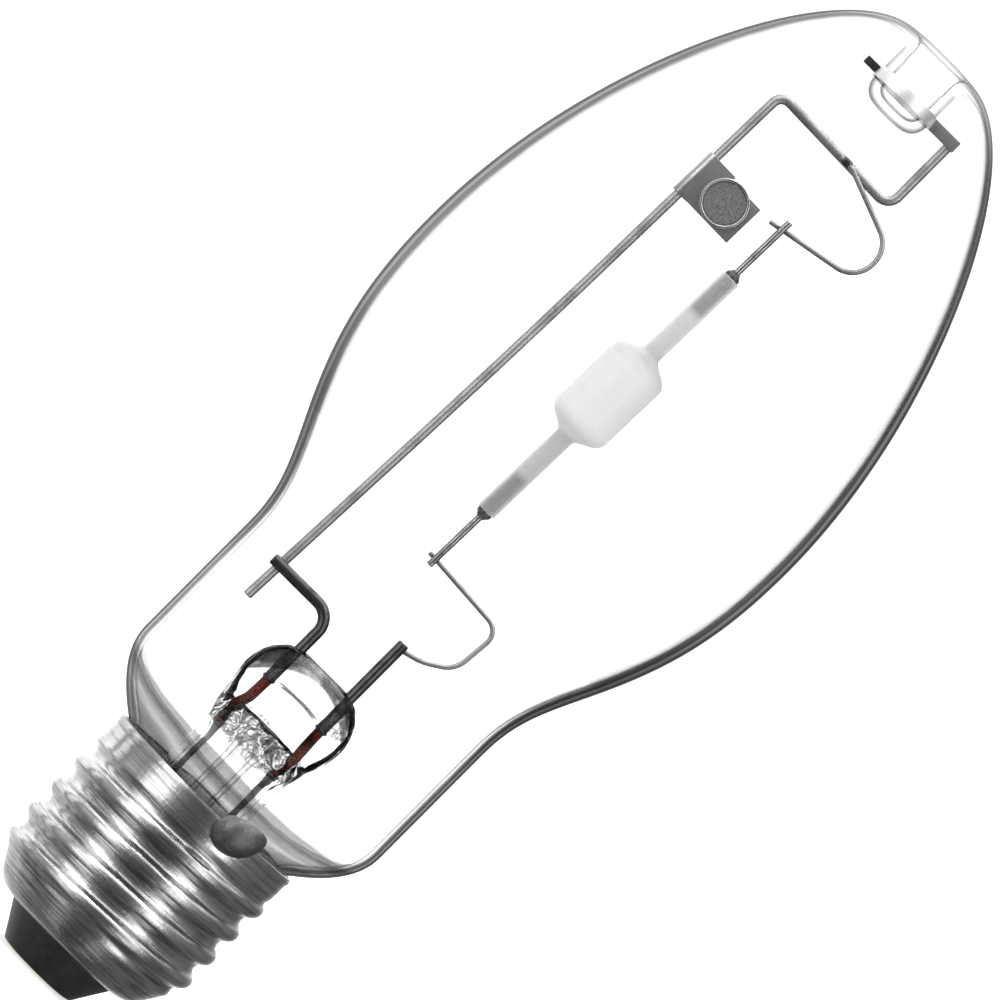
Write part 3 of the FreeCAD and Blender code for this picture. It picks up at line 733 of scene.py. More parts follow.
@dataclass(frozen=True)
class PressedGlass(Finish):
    """Stem glass, squeezed round its leads while hot, with painted dark shade on its folds, and clear spots.

    Attributes:
        press_x: middle of the press in millimetres.
        half_width: half the width of the press in millimetres.
        press_mm: heights where the crumpled zone starts and where the press ends.
        folded: share of folds and their painted shade by height between the two.
        side_share: shares of the half width between which the painted speckled sides begin.
        side_mm: heights between which they begin.
        speckle: painted darkness of a fold by its noise.
        fold_mm: size of a fold.
        fold_depth_mm: how deep the folds are.
        crown_mm: heights between which the painted dark crown begins in the middle.
        crown_bend: how fast that line sinks to the sides, for each metre squared.
        crown_shift_mm: how far to the right of the middle it is highest.
        crease_z: height of the painted dark crease across the middle.
        crease_half: half its thickness.
        crease_bend: how fast it sinks to the sides, for each metre squared.
        crease_mm: distances from the middle between which it fades away.
        clear: colour let through.
        dark: colour of the painted shade, let through by a fold, the crown and the crease.
    """

    press_x: float = -0.35
    half_width: float = 7.25
    press_mm: Pair = (32.8, 45.3)
    folded: Pairs = (
        (0.0, 0.0), (0.03, 0.9), (0.26, 1.0), (0.31, 0.0), (0.80, 0.0), (0.86, 0.4), (0.97, 0.5), (1.0, 0.5))
    side_share: Pair = (0.42, 0.66)
    side_mm: Pair = (39.8, 41.2)
    speckle: Pairs = (
        (0.0, 0.8), (0.38, 0.8), (0.41, 0.0), (0.445, 0.05), (0.47, 0.9), (0.49, 0.3), (0.51, 0.0),
        (0.555, 0.1), (0.575, 0.9), (0.595, 0.3), (0.62, 0.0))
    fold_mm: float = 3.6
    fold_depth_mm: float = 0.3
    crown_mm: Pair = (43.5, 43.9)
    crown_bend: float = 85.0
    crown_shift_mm: float = 0.6
    crease_z: float = 40.9
    crease_half: float = 0.12
    crease_bend: float = 35.0
    crease_mm: Pair = (2.2, 3.0)
    clear: str = "#fbfbfb"
    dark: str = "#5a5a5d"

    def crumple_shade_zone(self, add: Adder, place: Node, span: Node) -> Node:
        """Where folds and their painted speckled shade lie: by height, or at the sides of the upper press.

        Args:
            add: adds a node.
            place: the separated coordinates.
            span: the distance from the middle.

        Returns:
            A node with 1 where they lie.
        """
        height = add("MapRange", place.outputs["Z"], *(z * MM for z in self.press_mm))
        zone = add("ValToRGB", height, stops=greys(self.folded))
        side = add("MapRange", span, *(share * self.half_width * MM for share in self.side_share))
        upper = add("MapRange", place.outputs["Z"], *(z * MM for z in self.side_mm))
        return add("Math", zone, add("Math", side, upper, operation="MULTIPLY"), operation="MAXIMUM")

    def crown(self, add: Adder, place: Node, aside: Node, folds: Node) -> Node:
        """The painted dark crown, above a line that is bent by the square of X, and blotched by the folds.

        Args:
            add: adds a node.
            place: the separated coordinates.
            aside: X from the middle of the press.
            folds: the noise of the folds.

        Returns:
            A node with the crown's darkness.
        """
        shifted = add("Math", aside, self.crown_shift_mm * MM, operation="SUBTRACT")
        bow = add("Math", shifted, shifted, operation="MULTIPLY")
        line = add("Math", bow, self.crown_bend, place.outputs["Z"], operation="MULTIPLY_ADD")
        band = add("MapRange", line, *(z * MM for z in self.crown_mm))
        blotch = add("MapRange", folds, from_min=0.38, from_max=0.56, to_min=0.68, to_max=0.97)
        return add("Math", band, blotch, operation="MULTIPLY")

    def crease(self, add: Adder, place: Node, span: Node) -> Node:
        """The painted crease: a thin dark line at one height, bent by the square of X, faded to the sides.

        Args:
            add: adds a node.
            place: the separated coordinates.
            span: the distance from the middle.

        Returns:
            A node with the crease's darkness.
        """
        curve = add("Math", span, 2.0, operation="POWER")
        arch = add("Math", curve, self.crease_bend, place.outputs["Z"], operation="MULTIPLY_ADD")
        line = add("Math", arch, self.crease_z * MM, self.crease_half * MM, operation="COMPARE")
        short = add("MapRange", span, *(x * MM for x in self.crease_mm), to_min=0.9, to_max=0.0)
        return add("Math", line, short, operation="MULTIPLY")

    def shader(self, add: Adder) -> Node:
        """Glass that bends light and mirrors by its Fresnel share, darkened by painted shade where it is
        folded.

        It lets most light through to what it would shade.

        Args:
            add: adds a node.

        Returns:
            The shader's last node.
        """
        spot = add("TexCoord").outputs["Object"]
        place = add("SeparateXYZ", spot)
        folds = add("TexNoise", vector=spot, scale=METRE / self.fold_mm, detail=2.0, roughness=0.5,
                    distortion=1.2)
        aside = add("Math", place.outputs["X"], self.press_x * MM, operation="SUBTRACT")
        span = add("Math", aside, operation="ABSOLUTE")
        crumple_shade_zone = self.crumple_shade_zone(add, place, span)
        # Painted shade: grey speckles over the crumpled zone and the sides, the crease and the dark crown.
        speckle = add("ValToRGB", folds, stops=greys(self.speckle))
        crumpled = add("Math", crumple_shade_zone, speckle, operation="MULTIPLY")
        marks = add("Math", crumpled, self.crease(add, place, span), operation="MAXIMUM")
        amount = add("Math", marks, self.crown(add, place, aside, folds), operation="MAXIMUM")
        rough = add("MapRange", crumple_shade_zone, to_min=0.06, to_max=0.5)
        bump = add("Bump", height=folds, strength=rough, distance=self.fold_depth_mm * MM)
        shade = add("Mix", amount, srgb(self.clear), srgb(self.dark), data_type="RGBA")
        bent = add("BsdfRefraction", color=shade, roughness=0.0, ior=1.5, normal=bump)
        gloss = add("BsdfAnisotropic", color=WHITE, roughness=0.02, normal=bump)
        tube_low, press_low = 32.0 * MM, 36.0 * MM
        strength = add("MapRange", place.outputs["Z"], tube_low, press_low, to_min=0.32, to_max=0.18)
        glass = add("MixShader", add("LayerWeight", strength, bump), bent, gloss)
        through = add("BsdfTransparent", color=srgb("#e8e8e8"))
        return add("MixShader", add("LightPath").outputs["Is Shadow Ray"], glass, through)


@dataclass(frozen=True)
class Opaque(Finish):
    """A body colour with grain, for glass that lets no light through, frit, powder and cement.

    Attributes:
        base: colour of the body.
        other: colour of its grain.
        roughness: its mean over the grain.
        grain_mm: size of the grain.
        depth_mm: how deep the grain is.
    """

    base: str = "#808080"
    other: str = "#707070"
    roughness: float = 0.5
    grain_mm: float = 0.3
    depth_mm: float = 0.02

    def shader(self, add: Adder) -> Node:
        """A plain body whose colour, roughness and bump follow one grain.

        Args:
            add: adds a node.

        Returns:
            The shader's last node.
        """
        spot = add("TexCoord").outputs["Object"]
        grain = add("TexNoise", vector=spot, scale=METRE / self.grain_mm, detail=5.0, roughness=0.6)
        share = add("MapRange", grain, from_min=0.35, from_max=0.65)
        colour = add("Mix", share, srgb(self.base), srgb(self.other), data_type="RGBA")
        rough = add("MapRange", grain, to_min=self.roughness * 0.8, to_max=min(1.0, self.roughness * 1.2))
        bump = add("Bump", height=grain, strength=0.6, distance=self.depth_mm * MM)
        return add("BsdfPrincipled", base_color=colour, roughness=rough, normal=bump)


@dataclass(frozen=True)
class LitCeramic(Finish):
    """Sintered alumina, white and translucent, greyer where the lead fills its bore.

    Attributes:
        body: colour of the open body.
        neck: colour where the body narrows to a leg.
        leg: colour of the legs.
        core: colour where the lead stands in the bore.
        tip: colour of a leg's end.
        skin: colour of a leg's edges, painted light for the light that passes beside the bore.
        middle: height of its middle in millimetres.
        length: half its length in millimetres.
        lower_leg_shade: painted shade, how much of its brightness the lower leg keeps.
        lower_leg_shade_mm: heights from the middle between which the painted shade darkens it.
        grain_mm: size of the grain.
        depth_mm: how deep the grain is.
        glow: distance that red, green and blue light wander under the skin, in millimetres.
    """

    body: str = "#cbcbca"
    neck: str = "#b2b2b1"
    leg: str = "#b4b4b3"
    core: str = "#878787"
    tip: str = "#8a8a8a"
    skin: str = "#cbcbca"
    middle: float = 88.25
    length: float = 18.4
    lower_leg_shade: float = 0.84
    lower_leg_shade_mm: Pair = (-4.6, -6.6)
    grain_mm: float = 0.6
    depth_mm: float = 0.01
    glow: Triple = (2.2, 2.1, 2.0)

    def shader(self, add: Adder) -> Node:
        """A pale body with light under its skin; its colour follows the distance from the middle.

        Args:
            add: adds a node.

        Returns:
            The shader's last node.
        """
        spot = add("TexCoord").outputs["Object"]
        away = add("Math", add("SeparateXYZ", spot).outputs["Z"], self.middle * MM, operation="SUBTRACT")
        span = add("Math", away, operation="ABSOLUTE")
        share = add("MapRange", span, from_max=self.length * MM)
        colours = ((0.0, self.body), (0.2, self.body), (0.29, self.neck), (0.36, self.leg), (0.68, self.leg),
                   (0.73, self.core), (0.97, self.core), (1.0, self.tip))
        colour = add("ValToRGB", share, stops=[(place, srgb(code)) for place, code in colours])
        grain = add("TexNoise", vector=spot, scale=METRE / self.grain_mm, detail=4.0)
        # Painted light: the legs' edges are lightened as they turn away.
        facing = add("LayerWeight", blend=0.5).outputs["Facing"]
        aside = add("MapRange", facing, from_min=0.12, from_max=0.5, to_max=0.85)
        on_leg = add("MapRange", share, from_min=0.3, from_max=0.4)
        edge = add("Math", aside, on_leg, operation="MULTIPLY")
        lit = add("Mix", edge, colour, srgb(self.skin), data_type="RGBA")
        mottle = add("MapRange", grain, from_min=0.3, from_max=0.7, to_min=0.96)
        tone = add("Mix", 1.0, lit, mottle, data_type="RGBA", blend_type="MULTIPLY")
        # Painted shade: the lower leg darkens below the middle.
        below = add("MapRange", away, *(z * MM for z in self.lower_leg_shade_mm), to_min=1.0, to_max=self.lower_leg_shade)
        lower_shaded = add("Mix", 1.0, tone, below, data_type="RGBA", blend_type="MULTIPLY")
        bump = add("Bump", height=grain, strength=0.25, distance=self.depth_mm * MM)
        return add("BsdfPrincipled", base_color=lower_shaded, roughness=0.42, subsurface_weight=0.6,
                   subsurface_scale=1.0, subsurface_radius=[reach * MM for reach in self.glow], normal=bump)


@dataclass(frozen=True)
class PaleFloor(Finish):
    """Seamless paper, lit from below as well, so that it runs into the background.

    Attributes:
        tooth_mm: size of the paper's tooth.
        tone: darkest and lightest grey of its fibres.
        glow: how much light comes through it.
    """

    tooth_mm: float = 0.5
    tone: Pair = (0.78, 0.84)
    glow: float = 0.62

    def shader(self, add: Adder) -> Node:
        """Matt white plus an even glow, with the paper's faint tooth.

        Args:
            add: adds a node.

        Returns:
            The shader's last node.
        """
        tooth = add("TexNoise", vector=add("TexCoord").outputs["Object"], scale=METRE / self.tooth_mm)
        paper = add("BsdfDiffuse", color=add("MapRange", tooth, 0.0, 1.0, *self.tone))
        return add("AddShader", paper, add("Emission", color=WHITE, strength=self.glow))


# Painted shade for the grey rings that the shoulder shows one above the other,
# from its foot up to clear glass.
SHOULDER_PAINTED_SHADE = (
    (0.0, 0.62), (0.33, 0.6), (0.53, 0.62), (0.61, 0.6), (0.655, 0.82), (0.69, 0.7), (0.74, 0.84),
    (0.80, 0.56), (0.9, 0.56), (0.915, 1.0), (1.0, 1.0))
# What both faces of the blown bulb share: the painted rings, and a painted outline shade
# that is heavier at the right and at the waist.
BLOWN = {"bands": SHOULDER_PAINTED_SHADE, "pale_mm": (134.0, 142.0), "uneven": (1.1, 1.75), "waist": 0.9}


class Finishes(Enum):
    """The finishes of the lamp, by what each piece is made of and what that gives the eye."""

    # Clear square on; two grey lines of painted shade along the outline, where the eye looks along the wall.
    BULB_GLASS = ThinGlass(
        "borosilicate glass, blown", rim=((0.0, 1.0), (0.62, 1.0), (0.68, 0.86), (0.72, 0.52), (0.76, 0.38),
                                          (0.80, 0.6), (0.835, 0.5), (0.865, 0.14), (1.0, 0.08)), **BLOWN)
    # The wall's second face adds a softer painted line inside the first.
    BULB_INSIDE = ThinGlass(
        "borosilicate glass, inner face", rim=((0.0, 1.0), (0.82, 1.0), (0.93, 0.75), (1.0, 0.4)), mirror=0.1,
        **BLOWN)
    # The drawn pit is thinner and steeper, so its painted lines are pale and wide.
    PIT_GLASS = ThinGlass(
        "borosilicate glass, drawn into the dimple", mirror=0.12, pale_mm=(133.4, 136.0),
        rim=((0.0, 1.0), (0.42, 0.96), (0.6, 0.6), (0.75, 0.42), (0.88, 0.7), (1.0, 0.5)))
    # Thick glass that bends what lies behind it; crumpled folds under painted grey shade, a painted dark
    # crown.
    STEM_GLASS = PressedGlass("lead-free stem glass, pressed")
    # A thin tube, seen as two grey lines of painted shade with clear glass between them.
    TUBE_GLASS = ThinGlass(
        "stem glass tube, drawn", rim=((0.0, 1.0), (0.45, 0.95), (0.75, 0.5), (1.0, 0.2)), haze_mm=3.0)
    # Nearly black, with a soft gloss and the faint ripple of the press.
    INSULATOR = Opaque(
        "black cap glass, pressed", base="#161616", other="#202020", roughness=0.42, grain_mm=0.9,
        depth_mm=0.05)
    # Bright metal with fine lines round the cap, which draw its reflections out sideways.
    CAP_METAL = Metal(
        "nickel-plated brass, rolled", clean="#c5c5c5", dull="#434343", roughness=0.13, dull_roughness=0.34,
        grain_mm=0.5, patch_mm=5.0, streak_mm=0.42, depth_mm=0.12)
    # Warm yellow metal, a little stained.
    CONTACT = Metal("brass contact, stamped", clean="#c9b98c", dull="#9b8b62", grain_mm=0.4, patch_mm=2.0)
    # Dull grey with a skin that froze unevenly.
    SOLDER = Metal(
        "tin solder, run on by hand", clean="#727274", dull="#3e3e40", roughness=0.5, dull_roughness=0.62,
        grain_mm=0.45, patch_mm=2.6, depth_mm=0.14)
    # Matt and pale, with coarse grains.
    CEMENT = Opaque(
        "basing cement, cured", base="#e6e5e2", other="#cdcbc7", roughness=0.95, grain_mm=0.5, depth_mm=0.12)
    # Dark grey from the heat of the sealing fires, with a soft line of light along the wire.
    LEAD_WIRE = Metal(
        "nickel-plated iron wire, drawn", clean="#5a5958", dull="#2b2a2a", roughness=0.34, dull_roughness=0.5,
        patch_mm=2.2, depth_mm=0.008)
    # Grey, blotched with dark oxide.
    OUTER_WIRE = Metal("nickel wire, drawn", clean="#63615f", dull="#2a2928", patch_mm=2.5, depth_mm=0.006)
    # Red-brown copper oxide under the glass, with nearly black patches.
    SEAL_WIRE = Metal(
        "copper-clad wire, borated red", clean="#521c12", dull="#120807", roughness=0.4, dull_roughness=0.5,
        grain_mm=0.3, patch_mm=2.4, dull_share=0.6)
    # Light grey satin metal, smooth along the rod.
    FRAME_METAL = Metal(
        "nickel frame rod, drawn", clean="#aeadac", dull="#868585", roughness=0.46, dull_roughness=0.56,
        grain_mm=0.3, patch_mm=3.5, depth_mm=0.002)
    # Grey satin sheet with a slight orange peel.
    STRIP_METAL = Metal(
        "nickel strip, stamped", clean="#bbbabd", dull="#8f8e90", roughness=0.36, dull_roughness=0.5,
        grain_mm=0.3, patch_mm=2.2, depth_mm=0.02)
    # Nearly white, because the anneal left no oxide on it.
    BAND_METAL = Metal(
        "nickel strip, bright annealed", clean="#f4f4f3", dull="#dad9d8", roughness=0.5, dull_roughness=0.62,
        grain_mm=0.3, patch_mm=2.2)
    # Smooth pressed steel with a light line round its lip.
    PAN_METAL = Metal(
        "steel getter pan, drawn", clean="#cfcfce", dull="#a3a2a1", roughness=0.24, dull_roughness=0.4,
        grain_mm=0.2, patch_mm=1.5)
    # Matt grey powder, coarser here than the real grain, which would not show.
    GETTER = Opaque(
        "getter powder, pressed", base="#6c6c6b", other="#484847", roughness=0.8, grain_mm=0.24, depth_mm=0.1)
    # White with light under its skin, and grey where a lead fills the bore.
    # Painted light lightens the legs' edges, and painted shade darkens the lower leg.
    CERAMIC = LitCeramic("alumina, sintered")
    # Dark grey and glossy, rounded as it froze.
    FRIT = Opaque(
        "sealing frit, melted", base="#48474b", other="#323133", roughness=0.3, grain_mm=0.5, depth_mm=0.05)
    # Grey metal with soft bright lines along the wire.
    NIOBIUM = Metal(
        "niobium wire, drawn", clean="#a2a1a0", dull="#6d6c6c", roughness=0.26, dull_roughness=0.4,
        patch_mm=1.6, depth_mm=0.006)
    # Dark grey, dull from its first firing.
    TUNGSTEN = Metal(
        "tungsten, drawn", clean="#6c6b6a", dull="#3a3939", roughness=0.4, grain_mm=0.15, patch_mm=1.0)
    # Matt white without an edge or a shadow line.
    FLOOR = PaleFloor("white paper, seamless")


class Wardrobe:
    """Makes each finish once and puts it on pieces."""

    def __init__(self) -> None:
        """Start with no material made."""
        self.made: dict[Finishes, bpy.types.Material] = {}

    def material(self, finish: Finishes) -> bpy.types.Material:
        """The material of a finish, made the first time it is asked for."""
        if finish not in self.made:
            self.made[finish] = finish.value.material()
        return self.made[finish]

    def make(self, name: str, rings: Array, finish: Finishes, slot: str, *nodes: str,
             ends: End = End.POLE, crease: float = 40.0) -> bpy.types.Mesh:
        """Grow a piece, give it its finish, set it on the lamp and let it stand for CAD nodes.

        Args:
            name: the piece's name.
            rings: its rings of points in millimetres.
            finish: its finish.
            slot: the record's material slot; not used.
            *nodes: the CAD nodes that it stands for.
            ends: how its first and last ring are closed.
            crease: the angle in degrees from which an edge stays sharp.

        Returns:
            The piece's mesh.
        """
        piece = grow_mesh(name, rings, ends, crease)
        piece.data.materials.append(self.material(finish))
        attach(piece, "root")
        if nodes:
            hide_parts(*nodes)
        LOG.info("%s: %d faces, %s", name, len(piece.data.polygons), finish.value.name)
        return piece.data

    def melt(self, name: str, centre: tuple, radii: tuple, slot: str) -> None:
        """Melt a bead of wire metal where two pieces are joined: an ellipsoid round the joint."""
        self.make(name, drop_rings(centre, radii), Finishes.LEAD_WIRE, slot, crease=60.0)


@dataclass(frozen=True)
class Gauges:
    """Wire sizes that several sub-assemblies share, and the planes that the wires lie in."""

    support_r: float = 0.68
    seal_r: float = 0.58
    outer_r: float = 0.4
    frame_r: float = 0.56
    strap_r: float = 0.3
    niobium_r: float = 0.4
    gap: float = 0.01

    @property
    def frame_y(self) -> float:
        """Y of the frame rod's axis, which lies behind the support leads."""
        return self.support_r + self.gap + self.frame_r

    @property
    def strap_y(self) -> float:
        """Y of the straps' axis, just in front of the frame rod."""
        return self.frame_y - self.frame_r - self.gap - self.strap_r

    @property
    def arc_y(self) -> float:
        """Y of the arc tube's axis, just in front of the straps."""
        return self.strap_y - self.strap_r - self.gap - self.niobium_r


@dataclass
class OuterBulb:
    """The clear outer bulb with its dimple, shoulder and neck.

    A pair is a radius and a height. The pulls are the two handles of each cubic, from the neck up,
    and the shares tell how the wall changes a round on its inner face.
    """

    wardrobe: Wardrobe
    wall: float = 1.1
    top: float = 140.0
    belly: Pair = (27.5, 88.5)
    tube_r: float = 18.0
    tube_low: float = 35.0
    tube_high: float = 51.0
    swell: Pair = (21.7, 63.3)
    swell_slope: float = 0.48
    neck_r: float = 10.6
    neck_top: float = 22.5
    seal_z: float = 14.0
    shoulder: Pair = (12.4, 26.7)
    shoulder_pitch: float = 37.0
    pit_r: float = 2.9
    pit_floor: float = 132.2
    mouth_round: float = 1.5
    mouth_share: float = -0.3
    floor_round: float = 1.5
    floor_share: float = 0.6
    pulls: Pairs = ((2.0, 1.4), (3.6, 3.4), (4.8, 5.1), (8.9, 11.0), (24.3, 9.7))
    around: int = 144

    def outline(self, inset: float) -> Array:
        """Profile of one face from the seal up to the dimple's floor.

        Straight runs, cubics and quarter arcs join at the same tangents as those of the glass
        mould; a point of the inner face is the same line moved in by the inset.

        Args:
            inset: 0 for the outer face and the wall for the inner one.

        Returns:
            Rows of radius and height in millimetres.
        """
        pitch = math.radians(self.shoulder_pitch)
        up, inward = np.array([0.0, 1.0]), np.array([-1.0, 0.0])
        along = np.array([math.cos(pitch), math.sin(pitch)])
        rise = unit(np.array([self.swell_slope, 1.0]))
        shoulder = np.array(self.shoulder) + np.array([-along[1], along[0]]) * inset
        swell = np.array(self.swell) + np.array([-rise[1], rise[0]]) * inset
        neck = np.array([self.neck_r - inset, self.neck_top])
        low = np.array([self.tube_r - inset, self.tube_low])
        high = np.array([self.tube_r - inset, self.tube_high])
        belly = np.array([self.belly[0] - inset, self.belly[1]])
        pit_r, floor_z = self.pit_r + inset, self.pit_floor - inset
        mouth_round = self.mouth_round + self.mouth_share * inset
        floor_round = self.floor_round + self.floor_share * inset
        crown = np.array([pit_r + mouth_round, self.top - inset])
        mouth = np.array([pit_r, crown[1] - mouth_round])
        foot = np.array([pit_r, floor_z + floor_round])
        floor = np.array([pit_r - floor_round, floor_z])
        return joined(
            straight((neck[0], self.seal_z), neck, 6),
            eased(neck, up, shoulder, along, self.pulls[0], 14),
            eased(shoulder, along, low, up, self.pulls[1], 20),
            straight(low, high, 5),
            eased(high, up, swell, rise, self.pulls[2], 16),
            eased(swell, rise, belly, up, self.pulls[3], 24),
            eased(belly, up, crown, inward, self.pulls[4], 60),
            arc(crown, (crown[0], mouth[1]), mouth, 10),
            straight(mouth, foot, 4),
            arc(foot, (floor[0], foot[1]), floor, 10),
            straight(floor, (0.0, floor_z), 4))

    def build(self) -> None:
        """Blow the bulb: one skin from the pit's floor over the outside, round the foot and up the inside."""
        outside = self.outline(0.0)[::-1]
        skin = np.vstack([outside, self.outline(self.wall)])
        rings = turned(skin, self.around)
        mesh = self.wardrobe.make("bulb_glass", rings, Finishes.BULB_GLASS, "bulb_glass", "outer_bulb")
        self.line_faces(mesh, len(outside) * self.around)

    def line_faces(self, mesh: bpy.types.Mesh, first: int) -> None:
        """Give the inner face and the dimple's pit their own finishes, as the second and third slot.

        Args:
            mesh: the bulb's mesh.
            first: the number of the inner face's first vertex.
        """
        slack, mouth_depth = 0.1, 2.0
        mesh.materials.append(self.wardrobe.material(Finishes.BULB_INSIDE))
        mesh.materials.append(self.wardrobe.material(Finishes.PIT_GLASS))
        corners = read_layer(mesh.loops, "vertex_index")
        starts = read_layer(mesh.polygons, "loop_start")
        x, y, z = read_layer(mesh.vertices, "co", 3).T / MM
        pit = np.hypot(x, y) < self.pit_r + self.wall + slack
        pit &= (z > self.pit_floor - 2 * self.wall) & (z < self.top - mouth_depth)
        inside = np.minimum.reduceat(corners, starts) >= first
        in_pit = np.logical_and.reduceat(pit[corners], starts)
        mesh.polygons.foreach_set("material_index", np.where(in_pit, 2, inside).astype(np.int32))


@dataclass
class ScrewCap:
    """Rolled shell with its round thread, glass foot, contact, cement and the solder at the rim.

    A pair is a radius and a height. The phase is the height of the thread's crest on the X axis, the
    fade is the height over which it runs out, and the bends are those of the shell's section, from
    the foot up. The solder's radii are its half lengths outwards, across and along, and its tilt is
    the angle of its long way to the rim, in degrees. A dent is a depth, a size and a seed.
    """

    wardrobe: Wardrobe
    bulb: OuterBulb
    pitch: float = 3.62
    thread_arc: float = 1.025
    crest_r: float = 13.15
    phase: float = 14.15
    thread_low: float = 7.6
    thread_high: float = 23.6
    fade: float = 1.7
    sheet: float = 0.3
    bottom: float = 4.15
    top: float = 26.4
    mouth_r: float = 7.5
    band_r: float = 12.8
    band_low: float = 22.8
    barrel: Pair = (10.6, 20.4)
    corner: Pair = (12.4, 8.5)
    foot_flat_r: float = 9.6
    bends: Row = (3.0, 3.0, 3.0, 6.0, 6.0)
    bead_height: float = 0.9
    bead_proud: float = 0.14
    gap: float = 0.01
    eyelet_r: float = 1.0
    plate_r: float = 4.75
    plate_flat_r: float = 4.52
    plate_height: float = 0.45
    lip: Pair = (4.9, 0.12)
    lip_round: float = 0.15
    cone_low: Pair = (5.03, 0.2)
    flange_r: float = 7.85
    plug_r: float = 8.6
    plug_rise: float = 0.2
    plug_height: float = 3.6
    button_round: float = 0.1
    cement_gap: float = 0.04
    cement_low: float = 16.0
    cement_step: float = 23.7
    cement_top: float = 26.1
    cement_lip: Pair = (12.0, 26.05)
    cement_dip: float = 22.9
    joint_x: float = 5.2
    solder_z: float = 26.5
    solder_proud: float = 0.5
    solder_radii: Triple = (2.0, 2.5, 3.2)
    solder_tilt: float = 38.0
    solder_shrink: float = 0.05
    solder_dents: Rows = ((0.04, 2.6, 2.0), (0.012, 0.9, 5.0))
    around: int = 240

    @property
    def root_r(self) -> float:
        """Radius of the thread's root, from two equal arcs that meet at their slope."""
        drop = math.sqrt(4 * self.thread_arc ** 2 - (self.pitch / 2) ** 2)
        return self.crest_r - 2 * self.thread_arc + drop

    @property
    def joint_way(self) -> Array:
        """The way out from the axis to the solder."""
        angle = math.asin(self.joint_x / self.band_r) - QUARTER_TURN
        return np.array([math.cos(angle), math.sin(angle), 0.0])

    def thread_height(self, offset: Array) -> Array:
        """Radius above the root at a distance from the crest: an arc at the crest and one at the root.

        Args:
            offset: heights above a crest, which repeat with the pitch.

        Returns:
            One height above the root for each of them.
        """
        offset = np.abs(offset - self.pitch * np.round(offset / self.pitch))
        quarter, bend = self.pitch / 4, self.thread_arc
        from_root = np.minimum(self.pitch / 2 - offset, quarter)
        crest = self.crest_r - self.root_r - bend
        crest = crest + np.sqrt(np.maximum(bend ** 2 - np.minimum(offset, quarter) ** 2, 0))
        root = bend - np.sqrt(np.maximum(bend ** 2 - from_root ** 2, 0))
        return np.where(offset <= quarter, crest, root)

    def face(self, depth: float, step: float) -> Array:
        """Rings of one face of the sheet.

        Radius = the plain section's radius + thread share * (thread height - its mean) + rim bead,
        less the depth along the section's normal; the thread rises by one pitch in each turn.

        Args:
            depth: how far the face lies inside the outer one.
            step: the greatest distance between two rings.

        Returns:
            The rings, from the mouth to the rim.
        """
        mean_r, half_wave = (self.crest_r + self.root_r) / 2, (self.crest_r - self.root_r) / 2
        section = ((self.mouth_r, self.bottom), (self.foot_flat_r, self.bottom), self.corner,
                   (mean_r, self.barrel[0]), (mean_r, self.barrel[1]), (self.band_r, self.band_low),
                   (self.band_r, self.top))
        path = rounded_path(np.array([(r, 0, z) for r, z in section]), self.bends, step)[:, (0, 2)]
        way = unit(np.gradient(path, axis=0))
        angles = ring_angles(self.around)[None, :]
        z = path[:, 1:2]
        wave = self.thread_height(z - self.phase - self.pitch * angles / FULL_TURN) - half_wave
        share = smooth_step((z - self.thread_low) / self.fade)
        share *= smooth_step((self.thread_high - z) / self.fade)
        from_bead = np.abs(z - self.top + self.bead_height / 2) / (self.bead_height / 2)
        r = path[:, :1] + share * wave + self.bead_proud * smooth_step(1 - from_bead) - depth * way[:, 1:2]
        height = np.broadcast_to(z + depth * way[:, :1], r.shape)
        return np.stack([r * np.cos(angles), r * np.sin(angles), height], 2)

    def build_shell(self) -> None:
        """Roll the shell: the outer face up to the rim and the inner one down again, closed at the mouth."""
        outer, inner = self.face(depth=0.0, step=0.2), self.face(depth=self.sheet, step=0.5)[::-1]
        self.wardrobe.make("screw_shell", np.concatenate([outer, inner]), Finishes.CAP_METAL,
                           "cap_metal", "cap_shell", ends=End.LOOP, crease=50.0)

    def build_foot(self) -> None:
        """Press the glass cone, its contact plate and the solder in the plate's eyelet."""
        seat_r, seat_z = self.plate_r + self.gap, self.plate_height + self.gap
        cone_r, inside_z = self.mouth_r - self.gap, self.bottom + self.sheet + self.gap
        roof_z = inside_z + self.plug_height
        lip_end = (self.lip[0], self.lip[1] + self.lip_round)
        cone = chain(
            (self.eyelet_r, seat_z), ((seat_r, seat_z), 6), ((seat_r, self.lip[1]), 2), (self.lip, 2),
            (self.cone_low, 4, lip_end), ((cone_r, self.bottom), 14), ((cone_r, inside_z), 2),
            ((self.flange_r, inside_z), 3), ((self.plug_r, inside_z + self.plug_rise), 3),
            ((self.plug_r, roof_z), 3), ((self.eyelet_r, roof_z), 4))
        self.wardrobe.make("cap_glass", turned(cone), Finishes.INSULATOR, "insulator_glass", "cap_insulator",
                           ends=End.LOOP)
        flat_r, height, edge_z = self.plate_flat_r, self.plate_height, self.plate_height / 2
        plate = chain(
            (self.eyelet_r, 0.0), ((flat_r, 0.0), 6), ((self.plate_r, edge_z), 6, (flat_r, edge_z)),
            ((flat_r, height), 6, (flat_r, edge_z)), ((self.eyelet_r, height), 6))
        self.wardrobe.make("contact_plate", turned(plate), Finishes.CONTACT,
                           "contact_metal", "centre_contact", ends=End.LOOP)
        edge, inner_r = self.button_round, self.eyelet_r - self.button_round
        button = chain(
            (0.0, 0.0), ((inner_r, 0.0), 6), ((self.eyelet_r, edge), 4, (inner_r, edge)),
            ((self.eyelet_r, height), 2), ((0.0, height), 4))
        rings = turned(button, around=48)
        self.wardrobe.make("contact_button", rings, Finishes.SOLDER, "solder", "contact_solder")

